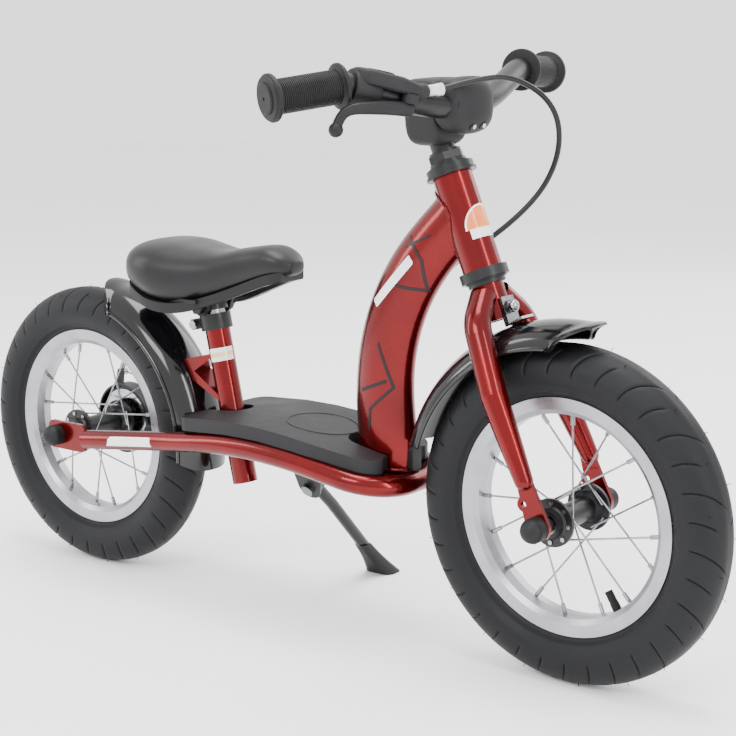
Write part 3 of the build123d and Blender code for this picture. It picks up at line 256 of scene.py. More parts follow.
RED = flake_paint("red_lacquer", (0.085, 0.0001, 0.0006), (0.165, 0.0003, 0.0014))
TYRE = finish_material(
    "tyre_rubber", (0.0042, 0.0044, 0.0054), (0.0062, 0.0065, 0.0078), (0.50, 0.64), 22, 900, 0.25, 0.0004,
    Specular_IOR_Level=0.22,
)
RIM = finish_material(
    "rim_aluminium", (0.30, 0.30, 0.325), (0.37, 0.37, 0.40), (0.26, 0.34), 40, 1500, 0.06, 0.0001,
    Metallic=0.85,
)
STEEL = finish_material(
    "zinc_steel", (0.22, 0.225, 0.235), (0.34, 0.345, 0.36), (0.20, 0.32), 60, 1200, 0.08, 0.0001,
    Metallic=1.0,
)
CHROME = finish_material(
    "polished_steel", (0.30, 0.305, 0.32), (0.42, 0.43, 0.445), (0.10, 0.17), 50, 900, 0.03, 0.0001,
    Metallic=1.0,
)
BRIGHT_ZINC = finish_material(
    "bright_zinc", (0.50, 0.505, 0.52), (0.66, 0.665, 0.68), (0.22, 0.34), 60, 1200, 0.06, 0.0001,
    Metallic=0.6,
)
GLOSS_BLACK = finish_material(
    "gloss_black_plastic", (0.002, 0.002, 0.0025), (0.004, 0.004, 0.005), (0.10, 0.16), 18, 700, 0.03, 0.0002,
    Specular_IOR_Level=0.35, Coat_Weight=0.25, Coat_Roughness=0.05,
)
BLACK_PAINT = finish_material(
    "black_powder_coat", (0.003, 0.003, 0.0035), (0.007, 0.007, 0.008), (0.30, 0.42), 30, 1400, 0.18, 0.0002,
    Specular_IOR_Level=0.35,
)
MATTE_PLASTIC = finish_material(
    "spark_textured_plastic", (0.006, 0.006, 0.0068), (0.011, 0.011, 0.0122), (0.46, 0.6), 26, 1700, 0.35,
    0.0003, Specular_IOR_Level=0.25,
)
GRIP_RUBBER = finish_material(
    "grip_rubber", (0.004, 0.004, 0.0046), (0.008, 0.008, 0.009), (0.48, 0.6), 30, 1300, 0.3, 0.0003,
    Specular_IOR_Level=0.25,
)
DECK_RUBBER = finish_material(
    "deck_rubber", (0.008, 0.008, 0.0092), (0.013, 0.013, 0.0148), (0.48, 0.62), 20, 1500, 0.4, 0.0003,
    Specular_IOR_Level=0.25,
)
CABLE_SKIN = finish_material(
    "cable_housing", (0.003, 0.003, 0.0034), (0.006, 0.006, 0.0068), (0.28, 0.38), 40, 900, 0.1, 0.0002,
    Specular_IOR_Level=0.3,
)
VINYL = finish_material(
    "saddle_vinyl", (0.0035, 0.0035, 0.0042), (0.0065, 0.0065, 0.0075), (0.34, 0.44), 16, 1100, 0.22, 0.0003,
    Specular_IOR_Level=0.3,
)
WHITE_MARK = finish_material(
    "white_print", (0.78, 0.78, 0.77), (0.86, 0.86, 0.86), (0.28, 0.38), 60, 900, 0.04, 0.0001,
    Coat_Weight=0.5,
)
GOLD_MARK = finish_material(
    "gold_print", (0.72, 0.55, 0.26), (0.84, 0.68, 0.36), (0.26, 0.36), 60, 900, 0.04, 0.0001, Metallic=0.4
)
ORANGE_MARK = finish_material(
    "orange_print", (0.74, 0.14, 0.02), (0.84, 0.22, 0.04), (0.26, 0.36), 50, 900, 0.04, 0.0001,
    Coat_Weight=0.5,
)
DARK_MARK = finish_material(
    "dark_print", (0.006, 0.001, 0.0015), (0.012, 0.0015, 0.0025), (0.30, 0.40), 40, 900, 0.04, 0.0001,
    Specular_IOR_Level=0.3,
)
FLOOR = finish_material(
    "floor_paper", (0.96, 0.96, 0.96), (0.98, 0.98, 0.98), (0.85, 0.95), 3, 400, 0.02, 0.0003,
    Specular_IOR_Level=0.1,
)

CAD_MATERIALS = {
    RED: "head_tube spine_tube base_loop_tube seat_tube rear_dropouts deck_plate rear_mudguard_bracket "
         "steerer_tube fork_legs fork_dropouts",
    TYRE: "rear_tyre front_tyre rear_inner_tube front_inner_tube",
    RIM: "rear_rim front_rim",
    STEEL: "frame_bolts rear_axle_and_nuts front_axle_and_nuts cable_anchor_bolt brake_inner_wire "
           "bar_fasteners front_mudguard_bracket headset_bearings rear_hub_bearings "
           "front_hub_bearings seat_post rear_spokes front_spokes",
    CHROME: "brake_drum crown_bolt",
    GLOSS_BLACK: "rear_mudguard front_mudguard",
    BLACK_PAINT: "seat_clamp headset_cups headset_races kickstand_bracket kickstand_leg brake_cover "
                 "brake_band stem handlebar saddle_clamp rear_hub front_hub brake_arm",
    MATTE_PLASTIC: "bar_cover_front bar_cover_rear lever_housing brake_lever saddle_base cable_guides",
    GRIP_RUBBER: "grips rear_nut_caps front_nut_caps",
    CABLE_SKIN: "brake_cable_loop brake_cable_run",
    DECK_RUBBER: "deck_pad kickstand_foot",
    VINYL: "saddle_pad",
}


def paint_cad_nodes():
    """Give every carried-over CAD node its procedural material."""
    for material, names in CAD_MATERIALS.items():
        for name in names.split():
            slots = NODES[name].data.materials
            slots.clear()
            slots.append(material)
            shade(NODES[name])


# Mesh helpers -----------------------------------------------------------------------------------
def shade(piece, degrees=38):
    """Smooth shading with sharp edges past an angle."""
    piece.data.shade_smooth()
    piece.data.set_sharp_from_angle(angle=math.radians(degrees))


def add_piece(name, vertices, faces, material, body, replaced=(), degrees=38):
    """A mesh object that rides on a body and may stand for CAD nodes."""
    mesh = bpy.data.meshes.new(name)
    mesh.from_pydata([tuple(v) for v in vertices], [], faces)
    mesh.validate()
    mesh.update()
    piece = bpy.data.objects.new(name, mesh)
    bpy.context.scene.collection.objects.link(piece)
    tidy = bmesh.new()
    tidy.from_mesh(mesh)
    bmesh.ops.recalc_face_normals(tidy, faces=tidy.faces)
    tidy.to_mesh(mesh)
    tidy.free()
    mesh.materials.append(material)
    shade(piece, degrees)
    if body:
        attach(piece, body)
    if replaced:
        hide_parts(*replaced)
    return piece


def ring_faces(ring_count, ring_size, closed_path=False, closed_ring=True, first=0):
    """Quads between successive rings of points."""
    faces = []
    for ring in range(ring_count if closed_path else ring_count - 1):
        start, following = ring * ring_size, (ring + 1) % ring_count * ring_size
        for k in range(ring_size if closed_ring else ring_size - 1):
            after = (k + 1) % ring_size
            corner = (start + k, start + after, following + after, following + k)
            faces.append(tuple(first + index for index in corner))
    return faces


def closed_loft(rings):
    """Vertices and faces of a solid through rings of points, with flat ends."""
    size = len(rings[0])
    faces = ring_faces(len(rings), size)
    faces.append(tuple(range(size)))
    faces.append(tuple((len(rings) - 1) * size + k for k in range(size)))
    return [point for ring in rings for point in ring], faces


def round_angles(count):
    """Equal steps once round a full turn."""
    return [2 * math.pi * k / count for k in range(count)]


def frame_of(axis):
    """Two directions at right angles to an axis."""
    axis = Vector(axis).normalized()
    side = axis.cross(Vector((0, 0, 1)))
    if side.length < 0.1:
        side = axis.cross(Vector((1, 0, 0)))
    side.normalize()
    return side, axis.cross(side)


def lathe(origin, axis, profile, steps=64):
    """A solid of revolution; profile gives (distance along the axis, radius) in millimetres."""
    axis = Vector(axis).normalized()
    side, other = frame_of(axis)
    rings = []
    for along, radius in profile:
        ring = []
        for angle in round_angles(steps):
            outward = math.cos(angle) * side + math.sin(angle) * other
            ring.append(Vector(origin) + axis * along * MM + outward * radius * MM)
        rings.append(ring)
    return closed_loft(rings)


def joined(parts):
    """Several (vertices, faces) pairs as one."""
    vertices, faces = [], []
    for part_vertices, part_faces in parts:
        offset = len(vertices)
        vertices += list(part_vertices)
        faces += [tuple(index + offset for index in face) for face in part_faces]
    return vertices, faces


def tube(points, radius, steps=16):
    """A round tube along points, with its section carried without twist."""
    points = [Vector(p) for p in points]
    tangents = []
    for k in range(len(points)):
        before, after = points[max(k - 1, 0)], points[min(k + 1, len(points) - 1)]
        tangents.append((after - before).normalized())
    side = frame_of(tangents[0])[0]
    rings = []
    for point, tangent in zip(points, tangents):
        side = (side - tangent * side.dot(tangent)).normalized()
        other = tangent.cross(side)
        rings.append([
            point + radius * (math.cos(a) * side + math.sin(a) * other) for a in round_angles(steps)
        ])
    return closed_loft(rings)


def smooth_route(points, samples=12):
    """Points read from the smooth spline that a route's points control."""
    curve = bpy.data.curves.new("route", "CURVE")
    curve.dimensions = "3D"
    curve.resolution_u = samples
    spline = curve.splines.new("NURBS")
    spline.points.add(len(points) - 1)
    for control, point in zip(spline.points, points):
        control.co = (*point, 1)
    spline.order_u = 3
    spline.use_endpoint_u = True
    carrier = bpy.data.objects.new("route", curve)
    line = bpy.data.meshes.new_from_object(carrier)
    route = [vertex.co.copy() for vertex in line.vertices]
    bpy.data.objects.remove(carrier)
    bpy.data.meshes.remove(line)
    return route


def smoothstep(x):
    x = min(max(x, 0.0), 1.0)
    return x * x * (3 - 2 * x)


def bevelled(node, body, width, material, segments=3, degrees=32):
    """A copy of a CAD node with its edges rounded, standing for it."""
    mesh = NODES[node].data.copy()
    mesh.name = node + "_rounded"
    tidy = bmesh.new()
    tidy.from_mesh(mesh)
    bmesh.ops.remove_doubles(tidy, verts=tidy.verts, dist=2e-6)
    bmesh.ops.dissolve_limit(
        tidy, angle_limit=math.radians(3), verts=tidy.verts, edges=tidy.edges, delimit=set()
    )
    tidy.to_mesh(mesh)
    tidy.free()
    piece = bpy.data.objects.new(node + "_rounded", mesh)
    bpy.context.scene.collection.objects.link(piece)
    mesh.materials.clear()
    mesh.materials.append(material)
    rounding = piece.modifiers.new("rounding", "BEVEL")
    rounding.width = width * MM
    rounding.segments = segments
    rounding.limit_method = "ANGLE"
    rounding.angle_limit = math.radians(degrees)
    rounding.use_clamp_overlap = True
    rounding.harden_normals = False
    shade(piece, 40)
    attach(piece, body)
    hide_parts(node)
    return piece


# Wheels -----------------------------------------------------------------------------------------
def wheel_place(centre, turn, radius, angle, y):
    """A point on a wheel from its radius, its angle above forward and its sideways place."""
    local = Vector((math.cos(angle) * radius, y, math.sin(angle) * radius)) * MM
    return Vector(centre) + Matrix.Rotation(turn, 3, STEER_AXIS) @ local


GROOVE_PITCHES = 17
GROOVE_PITCH = math.radians(360 / GROOVE_PITCHES)
# Each groove's place within a pitch, its side of the tyre, and where it starts towards the shoulder
GROOVES = [(0.0, 1, 0.05), (0.25, -1, 0.05), (0.5, 1, 0.34), (0.75, -1, 0.34)]
GROOVE_SWEEP = 0.44
GROOVE_DEPTH = 1.35
GROOVE_PROFILE = [
    (-0.0085, 0.0), (-0.0052, 0.25), (-0.0022, 1.0), (0.0022, 1.0), (0.0052, 0.25), (0.0085, 0.0)
]


def tread_lines():
    """Angles within one pitch with the cut of each groove there, as shares of the full depth."""
    lines = []
    for index, (phase, _, _) in enumerate(GROOVES):
        for away, cut in GROOVE_PROFILE:
            lines.append((phase * GROOVE_PITCH + away, index, cut))
        for step in (0.085, 0.125, 0.165):
            lines.append(((phase + step) * GROOVE_PITCH, index, 0.0))
    return sorted(lines)


def groove_sweep(share):
    """How far a groove has turned at a share of the way from the crown to the shoulder."""
    return GROOVE_SWEEP * GROOVE_PITCH * (1 - (1 - min(share, 1.0)) ** 1.9)


def groove_cut(index, cut, share, side):
    """The depth of a groove at a share of the way to the shoulder, in millimetres."""
    _, groove_side, inner = GROOVES[index]
    if not cut or side != groove_side:
        return 0.0
    return GROOVE_DEPTH * cut * smoothstep((share - inner) / 0.10) * smoothstep((1.0 - share) / 0.06)


def arc_points(start, through, end, count):
    """Points on the circle through three points, after the start and up to the end."""
    (ax, ay), (bx, by), (cx, cy) = start, through, end
    d = 2 * (ax * (by - cy) + bx * (cy - ay) + cx * (ay - by))
    ux = ((ax**2 + ay**2) * (by - cy) + (bx**2 + by**2) * (cy - ay) + (cx**2 + cy**2) * (ay - by)) / d
    uy = ((ax**2 + ay**2) * (cx - bx) + (bx**2 + by**2) * (ax - cx) + (cx**2 + cy**2) * (bx - ax)) / d
    radius = math.hypot(ax - ux, ay - uy)
    first, last = math.atan2(ay - uy, ax - ux), math.atan2(cy - uy, cx - ux)
    if last - first > math.pi:
        last -= 2 * math.pi
    if first - last > math.pi:
        last += 2 * math.pi
    return [
        (ux + radius * math.cos(first + (last - first) * k / count),
         uy + radius * math.sin(first + (last - first) * k / count))
        for k in range(1, count + 1)
    ]


def tyre_section():
    """The tyre's outline as (radius, y) in millimetres, from one bead over the tread to the other."""
    half = [(101.6, 12.2), (104.5, 12.6), (107, 12.6), (107.8, 14.4), (109.2, 14.9), (110.4, 16.2)]
    half += [(112, 18.7), (112.8, 19.7), (113.9, 20.3), (115, 20.9)]
    half += arc_points((115, 21.0), (120, 23.9), (126, 25), 5)
    half += arc_points((126, 25), (143.6, 19.2), (151.4, 7.2), 26)
    half += [(151.8, 5.4), (152.0, 3.6), (152.0, 1.8)]
    outside = half + [(152.0, 0.0)] + [(r, -y) for r, y in reversed(half)]
    inside = [(101.6, -8.6), (107, -9.8), (126, -22), (141, -16.6), (148.6, 0), (141, 16.6), (126, 22)]
    return outside, inside + [(107, 9.8), (101.6, 8.6)]


def crown_distances(outside):
    """The distance of each outline point from the crown, along the outline."""
    crown = len(outside) // 2
    distances = [0.0] * len(outside)
    for step in (1, -1):
        k = crown + step
        while 0 <= k < len(outside):
            distances[k] = distances[k - step] + math.dist(outside[k], outside[k - step])
            k += step
    return distances


def add_tyre(name, centre, turn, body, node, first_angle):
    """A tyre whose mesh lines lean with its grooves, so that each groove is cut cleanly."""
    outside, inside = tyre_section()
    distances = crown_distances(outside)
    shoulder = distances[max(range(len(outside)), key=lambda k: outside[k][1])]
    places = []
    for k, (radius, y) in enumerate(outside):
        before, after = outside[max(k - 1, 0)], outside[min(k + 1, len(outside) - 1)]
        length = math.dist(before, after)
        normal = ((after[1] - before[1]) / length, (before[0] - after[0]) / length)
        places.append((radius, y, normal, distances[k] / shoulder, 1 if y > 0 else -1))
    rings = []
    for pitch in range(GROOVE_PITCHES):
        for within, index, cut in tread_lines():
            base = first_angle + pitch * GROOVE_PITCH + within
            ring = []
            for radius, y, normal, share, side in places:
                depth = groove_cut(index, cut, share, side)
                angle = base + groove_sweep(share)
                cut_radius, cut_y = radius + depth * normal[0], y + depth * normal[1]
                ring.append(wheel_place(centre, turn, cut_radius, angle, cut_y))
            ring += [wheel_place(centre, turn, radius, base + groove_sweep(1), y) for radius, y in inside]
            rings.append(ring)
    vertices = [point for ring in rings for point in ring]
    faces = ring_faces(len(rings), len(rings[0]), closed_path=True)
    piece = add_piece(name, vertices, faces, TYRE, body, [node], 60)


VENT_HAIRS = 38


def add_vent_hairs(name, centre, turn, body, seed):
    """The fine rubber hairs that the mould leaves on a new tyre."""
    scatter = random.Random(seed)
    parts = []
    for k in range(VENT_HAIRS):
        angle = 2 * math.pi * (k + scatter.uniform(-0.2, 0.2)) / VENT_HAIRS
        y = (-1) ** k * scatter.choice((9.0, 9.5, 17.5))
        base_radius = 150.4 if abs(y) < 12 else 144.5
        base = wheel_place(centre, turn, base_radius, angle, y)
        lean = angle + scatter.uniform(-0.012, 0.012)
        tip = wheel_place(centre, turn, base_radius + scatter.uniform(2.6, 4.2), lean, y * 1.12)
        parts.append(tube([base, base.lerp(tip, 0.6), tip], 0.32 * MM, 6))
    vertices, faces = joined(parts)
    add_piece(name, vertices, faces, TYRE, body)


def add_wheels():
    add_tyre("rear_tyre_treaded", REAR_AXLE, 0, "rear_wheel", "rear_tyre", 0.02)
    add_tyre("front_tyre_treaded", FRONT_AXLE, FORK_TURN, "front_wheel", "front_tyre", 0.1)
    add_vent_hairs("rear_tyre_hairs", REAR_AXLE, 0, "rear_wheel", 3)
    add_vent_hairs("front_tyre_hairs", FRONT_AXLE, FORK_TURN, "front_wheel", 5)


# Mudguards --------------------------------------------------------------------------------------
GUARD_DEPTH = 21.5
GUARD_HALF_WIDTH = 32.0
GUARD_WALL = 2.2


def guard_section(flare):
    """A mudguard's section as (height above its edge, y) in millimetres: outer skin, then inner."""
    outer = []
    for k in range(33):
        angle = math.pi * (k / 32 - 0.5)
        outer.append((
            (GUARD_DEPTH + flare) * math.cos(angle), (GUARD_HALF_WIDTH + flare) * math.sin(angle)
        ))
    roll = [(2.2, 32.9), (1.2, 33.9), (-0.2, 34.2), (-1.4, 33.5), (-1.6, 32.2), (-0.8, 31.0)]
    outer_roll = [(h, y + flare) for h, y in roll]
    inner = []
    for k in range(33):
        angle = math.pi * (0.5 - k / 32)
        inner.append((
            (GUARD_DEPTH - GUARD_WALL + flare) * math.cos(angle),
            (GUARD_HALF_WIDTH - GUARD_WALL + flare) * math.sin(angle),
        ))
    return outer[1:-1] + outer_roll + inner[1:-1] + [(h, -y) for h, y in reversed(outer_roll)]


def add_mudguard(name, centre, radius, angles, lip_at_end, turn, body, node):
    """A rolled-edge mudguard whose free end opens into a lip with rounded corners."""
    first, last = (math.radians(a) for a in angles)
    lip_angle = math.radians(7)
    steps = 72
    rings = []
    for step in range(steps + 1):
        share = step / steps
        from_lip = ((1 - share) if lip_at_end else share) * (last - first)
        flare = 3.0 * (1 - smoothstep(from_lip / lip_angle)) ** 1.4
        ring = []
        for height, y in guard_section(flare):
            corner = math.radians(10.0) * (abs(y) / (GUARD_HALF_WIDTH + 2)) ** 2.4
            pull = corner * (1 - smoothstep(from_lip / (2.2 * lip_angle)))
            tail = math.radians(3.0) * (abs(y) / (GUARD_HALF_WIDTH + 2)) ** 4
            far = tail * (1 - smoothstep(((last - first) - from_lip) / (2 * lip_angle)))
            angle = first + share * (last - first)
            angle += (far - pull) if lip_at_end else (pull - far)
            ring.append(wheel_place(centre, turn, radius - GUARD_DEPTH + height, angle, y))
        rings.append(ring)
    vertices, faces = closed_loft(rings)
    piece = add_piece(name, vertices, faces, GLOSS_BLACK, body, [node], 50)


def add_mudguards():
    shift = 4.5 * MM
    rear_centre = REAR_AXLE + Vector((shift, 0, -shift))
    add_mudguard("rear_mudguard_rolled", rear_centre, 168.0, (-7, 81), True, 0, "frame", "rear_mudguard")
    add_mudguard(
        "front_mudguard_rolled", FRONT_AXLE, 172.5, (80, 165.5), False, FORK_TURN, "fork", "front_mudguard"
    )


# Saddle -----------------------------------------------------------------------------------------
SADDLE_STATIONS = [
    # distance from the rear axle, half width, lower edge, upper edge, in millimetres
    (89, 24, 328, 349), (97, 43, 318, 359), (113, 56, 309, 365), (140, 61, 300, 365),
    (168, 54, 299, 361), (200, 41, 307, 358), (233, 31, 319, 363), (262, 26, 330, 366),
    (279, 20, 335, 360), (288, 11, 340, 353),
]


def interpolate(stations, x):
    """Smooth values between rows of (x, value, value...)."""
    last = len(stations) - 1
    k = max(i for i in range(last) if stations[i][0] <= x or i == 0)
    rows = [stations[min(max(k + step, 0), last)] for step in (-1, 0, 1, 2)]
    t = (x - rows[1][0]) / (rows[2][0] - rows[1][0])
    values = []
    for column in range(1, len(stations[0])):
        slopes = []
        for before, after in ((rows[0], rows[2]), (rows[1], rows[3])):
            slopes.append((after[column] - before[column]) / (after[0] - before[0]))
        span = rows[2][0] - rows[1][0]
        start, end = rows[1][column], rows[2][column]
        values.append(
            (2 * t**3 - 3 * t**2 + 1) * start + (t**3 - 2 * t**2 + t) * slopes[0] * span
            + (3 * t**2 - 2 * t**3) * end + (t**3 - t**2) * slopes[1] * span
        )
    return values


def saddle_ring(x, shrink=1.0, count=72):
    """One section of the padded saddle: a full crown, a tucked skirt and a hollow underside."""
    half_width, low, high = interpolate(SADDLE_STATIONS, x)
    centre, half_height = (low + high) / 2, (high - low) / 2
    ring = []
    for angle in round_angles(count):
        c, s = math.cos(angle), math.sin(angle)
        power = 2 / 2.7
        y = math.copysign(abs(c) ** power, c) * half_width * shrink
        z = math.copysign(abs(s) ** power, s) * half_height * shrink
        tuck = smoothstep(-s) * 0.10
        y *= 1 - tuck
        hollow = 13 * smoothstep(-s * 1.4 - 0.2) * smoothstep(1.25 - abs(y) / 20)
        ring.append(from_rear(x, y, centre + z + hollow * smoothstep((half_width - 28) / 10)))
    return ring


def add_saddle():
    first, last = SADDLE_STATIONS[0][0], SADDLE_STATIONS[-1][0]
    rings = [saddle_ring(first, shrink) for shrink in (0.25, 0.6, 0.86)]
    rings = [[p + Vector((-push * MM, 0, 0)) for p in ring] for ring, push in zip(rings, (2.6, 2.2, 1.2))]
    count = 60
    rings += [saddle_ring(first + (last - first) * k / count) for k in range(count + 1)]
    for shrink, push in ((0.86, 0.7), (0.6, 1.3), (0.25, 1.6)):
        rings.append([p + Vector((push * MM, 0, 0)) for p in saddle_ring(last, shrink)])
    vertices, faces = closed_loft(rings)
    pad = add_piece("saddle_cover", vertices, faces, VINYL, "saddle", ["saddle_pad"], 60)
    smoothing = pad.modifiers.new("smoothing", "SUBSURF")
    smoothing.levels = smoothing.render_levels = 1

    rim = []
    for side, order in ((1, range(2, 57)), (-1, range(56, 1, -1))):
        for k in order:
            x = first + (last - first) * k / count
            half_width, low, high = interpolate(SADDLE_STATIONS, x)
            rim.append(from_rear(x, side * half_width * 0.83, low + 0.11 * (high - low)))
    vertices, faces = tube(rim + rim[:1], 1.0 * MM, 8)
    add_piece("saddle_piping", vertices, faces, MATTE_PLASTIC, "saddle")


RIM_STEPS = 60
CHEEK_RADIUS = 9.5


def base_rim():
    """The saddle base's rim, which follows the cover's lower edge all the way round."""
    path = []
    first, last = SADDLE_STATIONS[0][0], SADDLE_STATIONS[-1][0]
    for side, order in ((1, range(3, 58)), (-1, range(57, 2, -1))):
        for k in order:
            x = first + (last - first) * k / RIM_STEPS
            half_width, low, _ = interpolate(SADDLE_STATIONS, x)
            path.append(from_rear(x, side * half_width * 0.8, low + 1))
    rings = []
    for k, point in enumerate(path):
        along = path[(k + 1) % len(path)] - path[k - 1]
        outward = Vector((along.y, -along.x, 0)).normalized() * -MM
        up = Vector((0, 0, MM))
        section = [(-5, -3.4), (2.6, -3.4), (3.8, -2.6), (4.2, -1.2), (4.2, 7), (-5, 7)]
        rings.append([point + outward * a + up * b for a, b in section])
    return [point for ring in rings for point in ring], ring_faces(len(rings), 6, closed_path=True)


def add_saddle_base():
    """The plastic base: its rim, two bridges and the cheeks that the tilt bolt runs through."""
    pivot = Vector(JOINTS["saddle_tilt"]["pos_m"])
    parts = [base_rim()]
    for side in (-1, 1):
        bridge = [(-17, 7), (17, 7), (17, 11), (-17, 11)]
        parts.append(closed_loft([
            [pivot + Vector((x, side * y, z)) * MM for x, z in bridge] for y in (15, 44)
        ]))
        angles = [math.radians(a) for a in range(180, 361, 15)]
        outline = [(CHEEK_RADIUS * math.cos(a), CHEEK_RADIUS * math.sin(a)) for a in angles]
        outline += [(15, 11), (-15, 11)]
        parts.append(closed_loft([
            [pivot + Vector((x, side * y, z)) * MM for x, z in outline] for y in (15, 19)
        ]))
    vertices, faces = joined(parts)
    base = add_piece("saddle_base_rim", vertices, faces, MATTE_PLASTIC, "saddle", ["saddle_base"], 40)


# Handlebar --------------------------------------------------------------------------------------
BAR_END = (434.3, -184.8, 521.0)
BAR_BEND = (456, -113, 527.6)
BAR_HUB = (482, -33, 504)


def on_bars(x, y, z):
    """A point of the straight-ahead handlebar where it stands at rest."""
    return turned_point(from_rear(x, y, z), BAR_TURN)


def mirrored(point):
    return point[0], -point[1], point[2]


def grip_profile():
    profile = [(1.5, 1.2), (-1.9, 1.4), (-2.0, 11.8), (-1.3, 12.9), (0.0, 13.2), (0.2, 17.4), (0.9, 18.4)]
    profile += [(1.9, 18.5), (2.2, 19.2), (3.0, 20.0), (5.6, 20.0), (6.6, 19.4), (7.2, 17.2), (8.2, 15.2)]
    along = 9.0
    while along < 63.5:
        profile += [(along, 14.65), (along + 0.75, 14.55), (along + 1.05, 14.0), (along + 1.45, 14.0)]
        along += 1.75
    profile += [(64.4, 14.8), (65.6, 16.6), (66.2, 18.8), (67.0, 19.5), (69.0, 19.5), (69.8, 18.9)]
    return profile + [(70.0, 17.5), (70.0, 11.3)]


def add_grips():
    parts = []
    for end, bend in ((BAR_END, BAR_BEND), (mirrored(BAR_END), mirrored(BAR_BEND))):
        start = on_bars(*end)
        parts.append(lathe(start, on_bars(*bend) - start, grip_profile(), 72))
    vertices, faces = joined(parts)
    grips = add_piece("ribbed_grips", vertices, faces, GRIP_RUBBER, "bars", ["grips"], 28)


LEVER_ORIGIN = Vector(BAR_HUB) + (Vector(BAR_BEND) - Vector(BAR_HUB)) * 0.525
LEVER_UP = Vector((0.0834, 0.2568, 0.962)).normalized()
LEVER_OUT = (Vector(BAR_BEND) - Vector(BAR_HUB))
LEVER_OUT = (LEVER_OUT - LEVER_UP * LEVER_OUT.dot(LEVER_UP)).normalized()
LEVER_FORWARD = LEVER_UP.cross(LEVER_OUT)


def at_lever(u, v, w):
    """A point from its place outboard along the bar, forward and up, at the brake lever."""
    return on_bars(*(LEVER_ORIGIN + LEVER_OUT * u + LEVER_FORWARD * v + LEVER_UP * w))


def oval_button(centre, half_length, half_width, tilt, levels):
    """A low oval button; levels give (height, share of the size)."""
    rings = []
    for height, share in levels:
        ring = []
        for angle in round_angles(40):
            a, b = half_length * share * math.cos(angle), half_width * share * math.sin(angle)
            ring.append(at_lever(
                centre[0] + a * math.cos(tilt) - b * math.sin(tilt),
                centre[1] + a * math.sin(tilt) + b * math.cos(tilt), centre[2] + height,
            ))
        rings.append(ring)
    return closed_loft(rings)


LEVER_PIVOT = (-11.3, 15.8)
ADJUSTER_ROOT, ADJUSTER_END = (-22, 15, 9), (496, -39, 520)
BALL_RADIUS = 6.2
HOUSING_LOBES = [(25, 2.5, 14.8), (0, 11, 11.5), (-19, 15, 6.8)]
HOUSING_LEVELS = [
    (3.5, 3.0), (4.2, 1.0), (5.4, 0.2), (7, 0), (13, 0), (14.8, 0.7), (16.1, 2.0), (16.8, 4.0), (17, 6.0)
]


def housing_ring(height, inset, count=72):
    """The lever housing's outline at a height, drawn in; its top falls towards the adjuster."""
    ring = []
    for angle in round_angles(count):
        du, dv = math.cos(angle), math.sin(angle)
        u, v, radius = max(HOUSING_LOBES, key=lambda lobe: lobe[0] * du + lobe[1] * dv + lobe[2])
        drop = 3.2 * smoothstep((6 - u) / 26) * smoothstep((height - 3) / 12)
        ring.append(at_lever(u + du * (radius - inset), v + dv * (radius - inset), height - drop))
    return ring


def add_lever_housing():
    """The moulded housing: a domed shell, a collar round the bar, a hinge and the adjuster's nose."""
    shell = closed_loft([housing_ring(height, inset) for height, inset in HOUSING_LEVELS])
    along = at_lever(20, 0, 0) - at_lever(0, 0, 0)
    collar = lathe(
        at_lever(14, 0, 0), along,
        [(0, 11.3), (0, 13.8), (0.8, 14.8), (2, 15.4), (24, 15.4), (25.2, 14.9), (25.8, 13.8), (25.8, 11.3)],
        48,
    )
    up = at_lever(0, 0, 20) - at_lever(0, 0, 0)
    profile = [(0, 5.4), (0, 6.6), (0.6, 7.2), (8.4, 7.4), (8.8, 5)]
    hinge = lathe(at_lever(*LEVER_PIVOT, -4.2), up, profile, 40)
    root, end = at_lever(*ADJUSTER_ROOT), on_bars(*ADJUSTER_END)
    profile = [(-9, 4.4), (-8, 6.2), (-4, 7.2), (1, 6.9), (3.6, 6.0), (4.4, 5.2), (4.4, 4.3)]
    nose = lathe(root, end - root, profile, 40)
    vertices, faces = joined([shell, collar, hinge, nose])
    housing = add_piece(
        "lever_housing_moulded", vertices, faces, MATTE_PLASTIC, "bars", ["lever_housing"], 40
    )


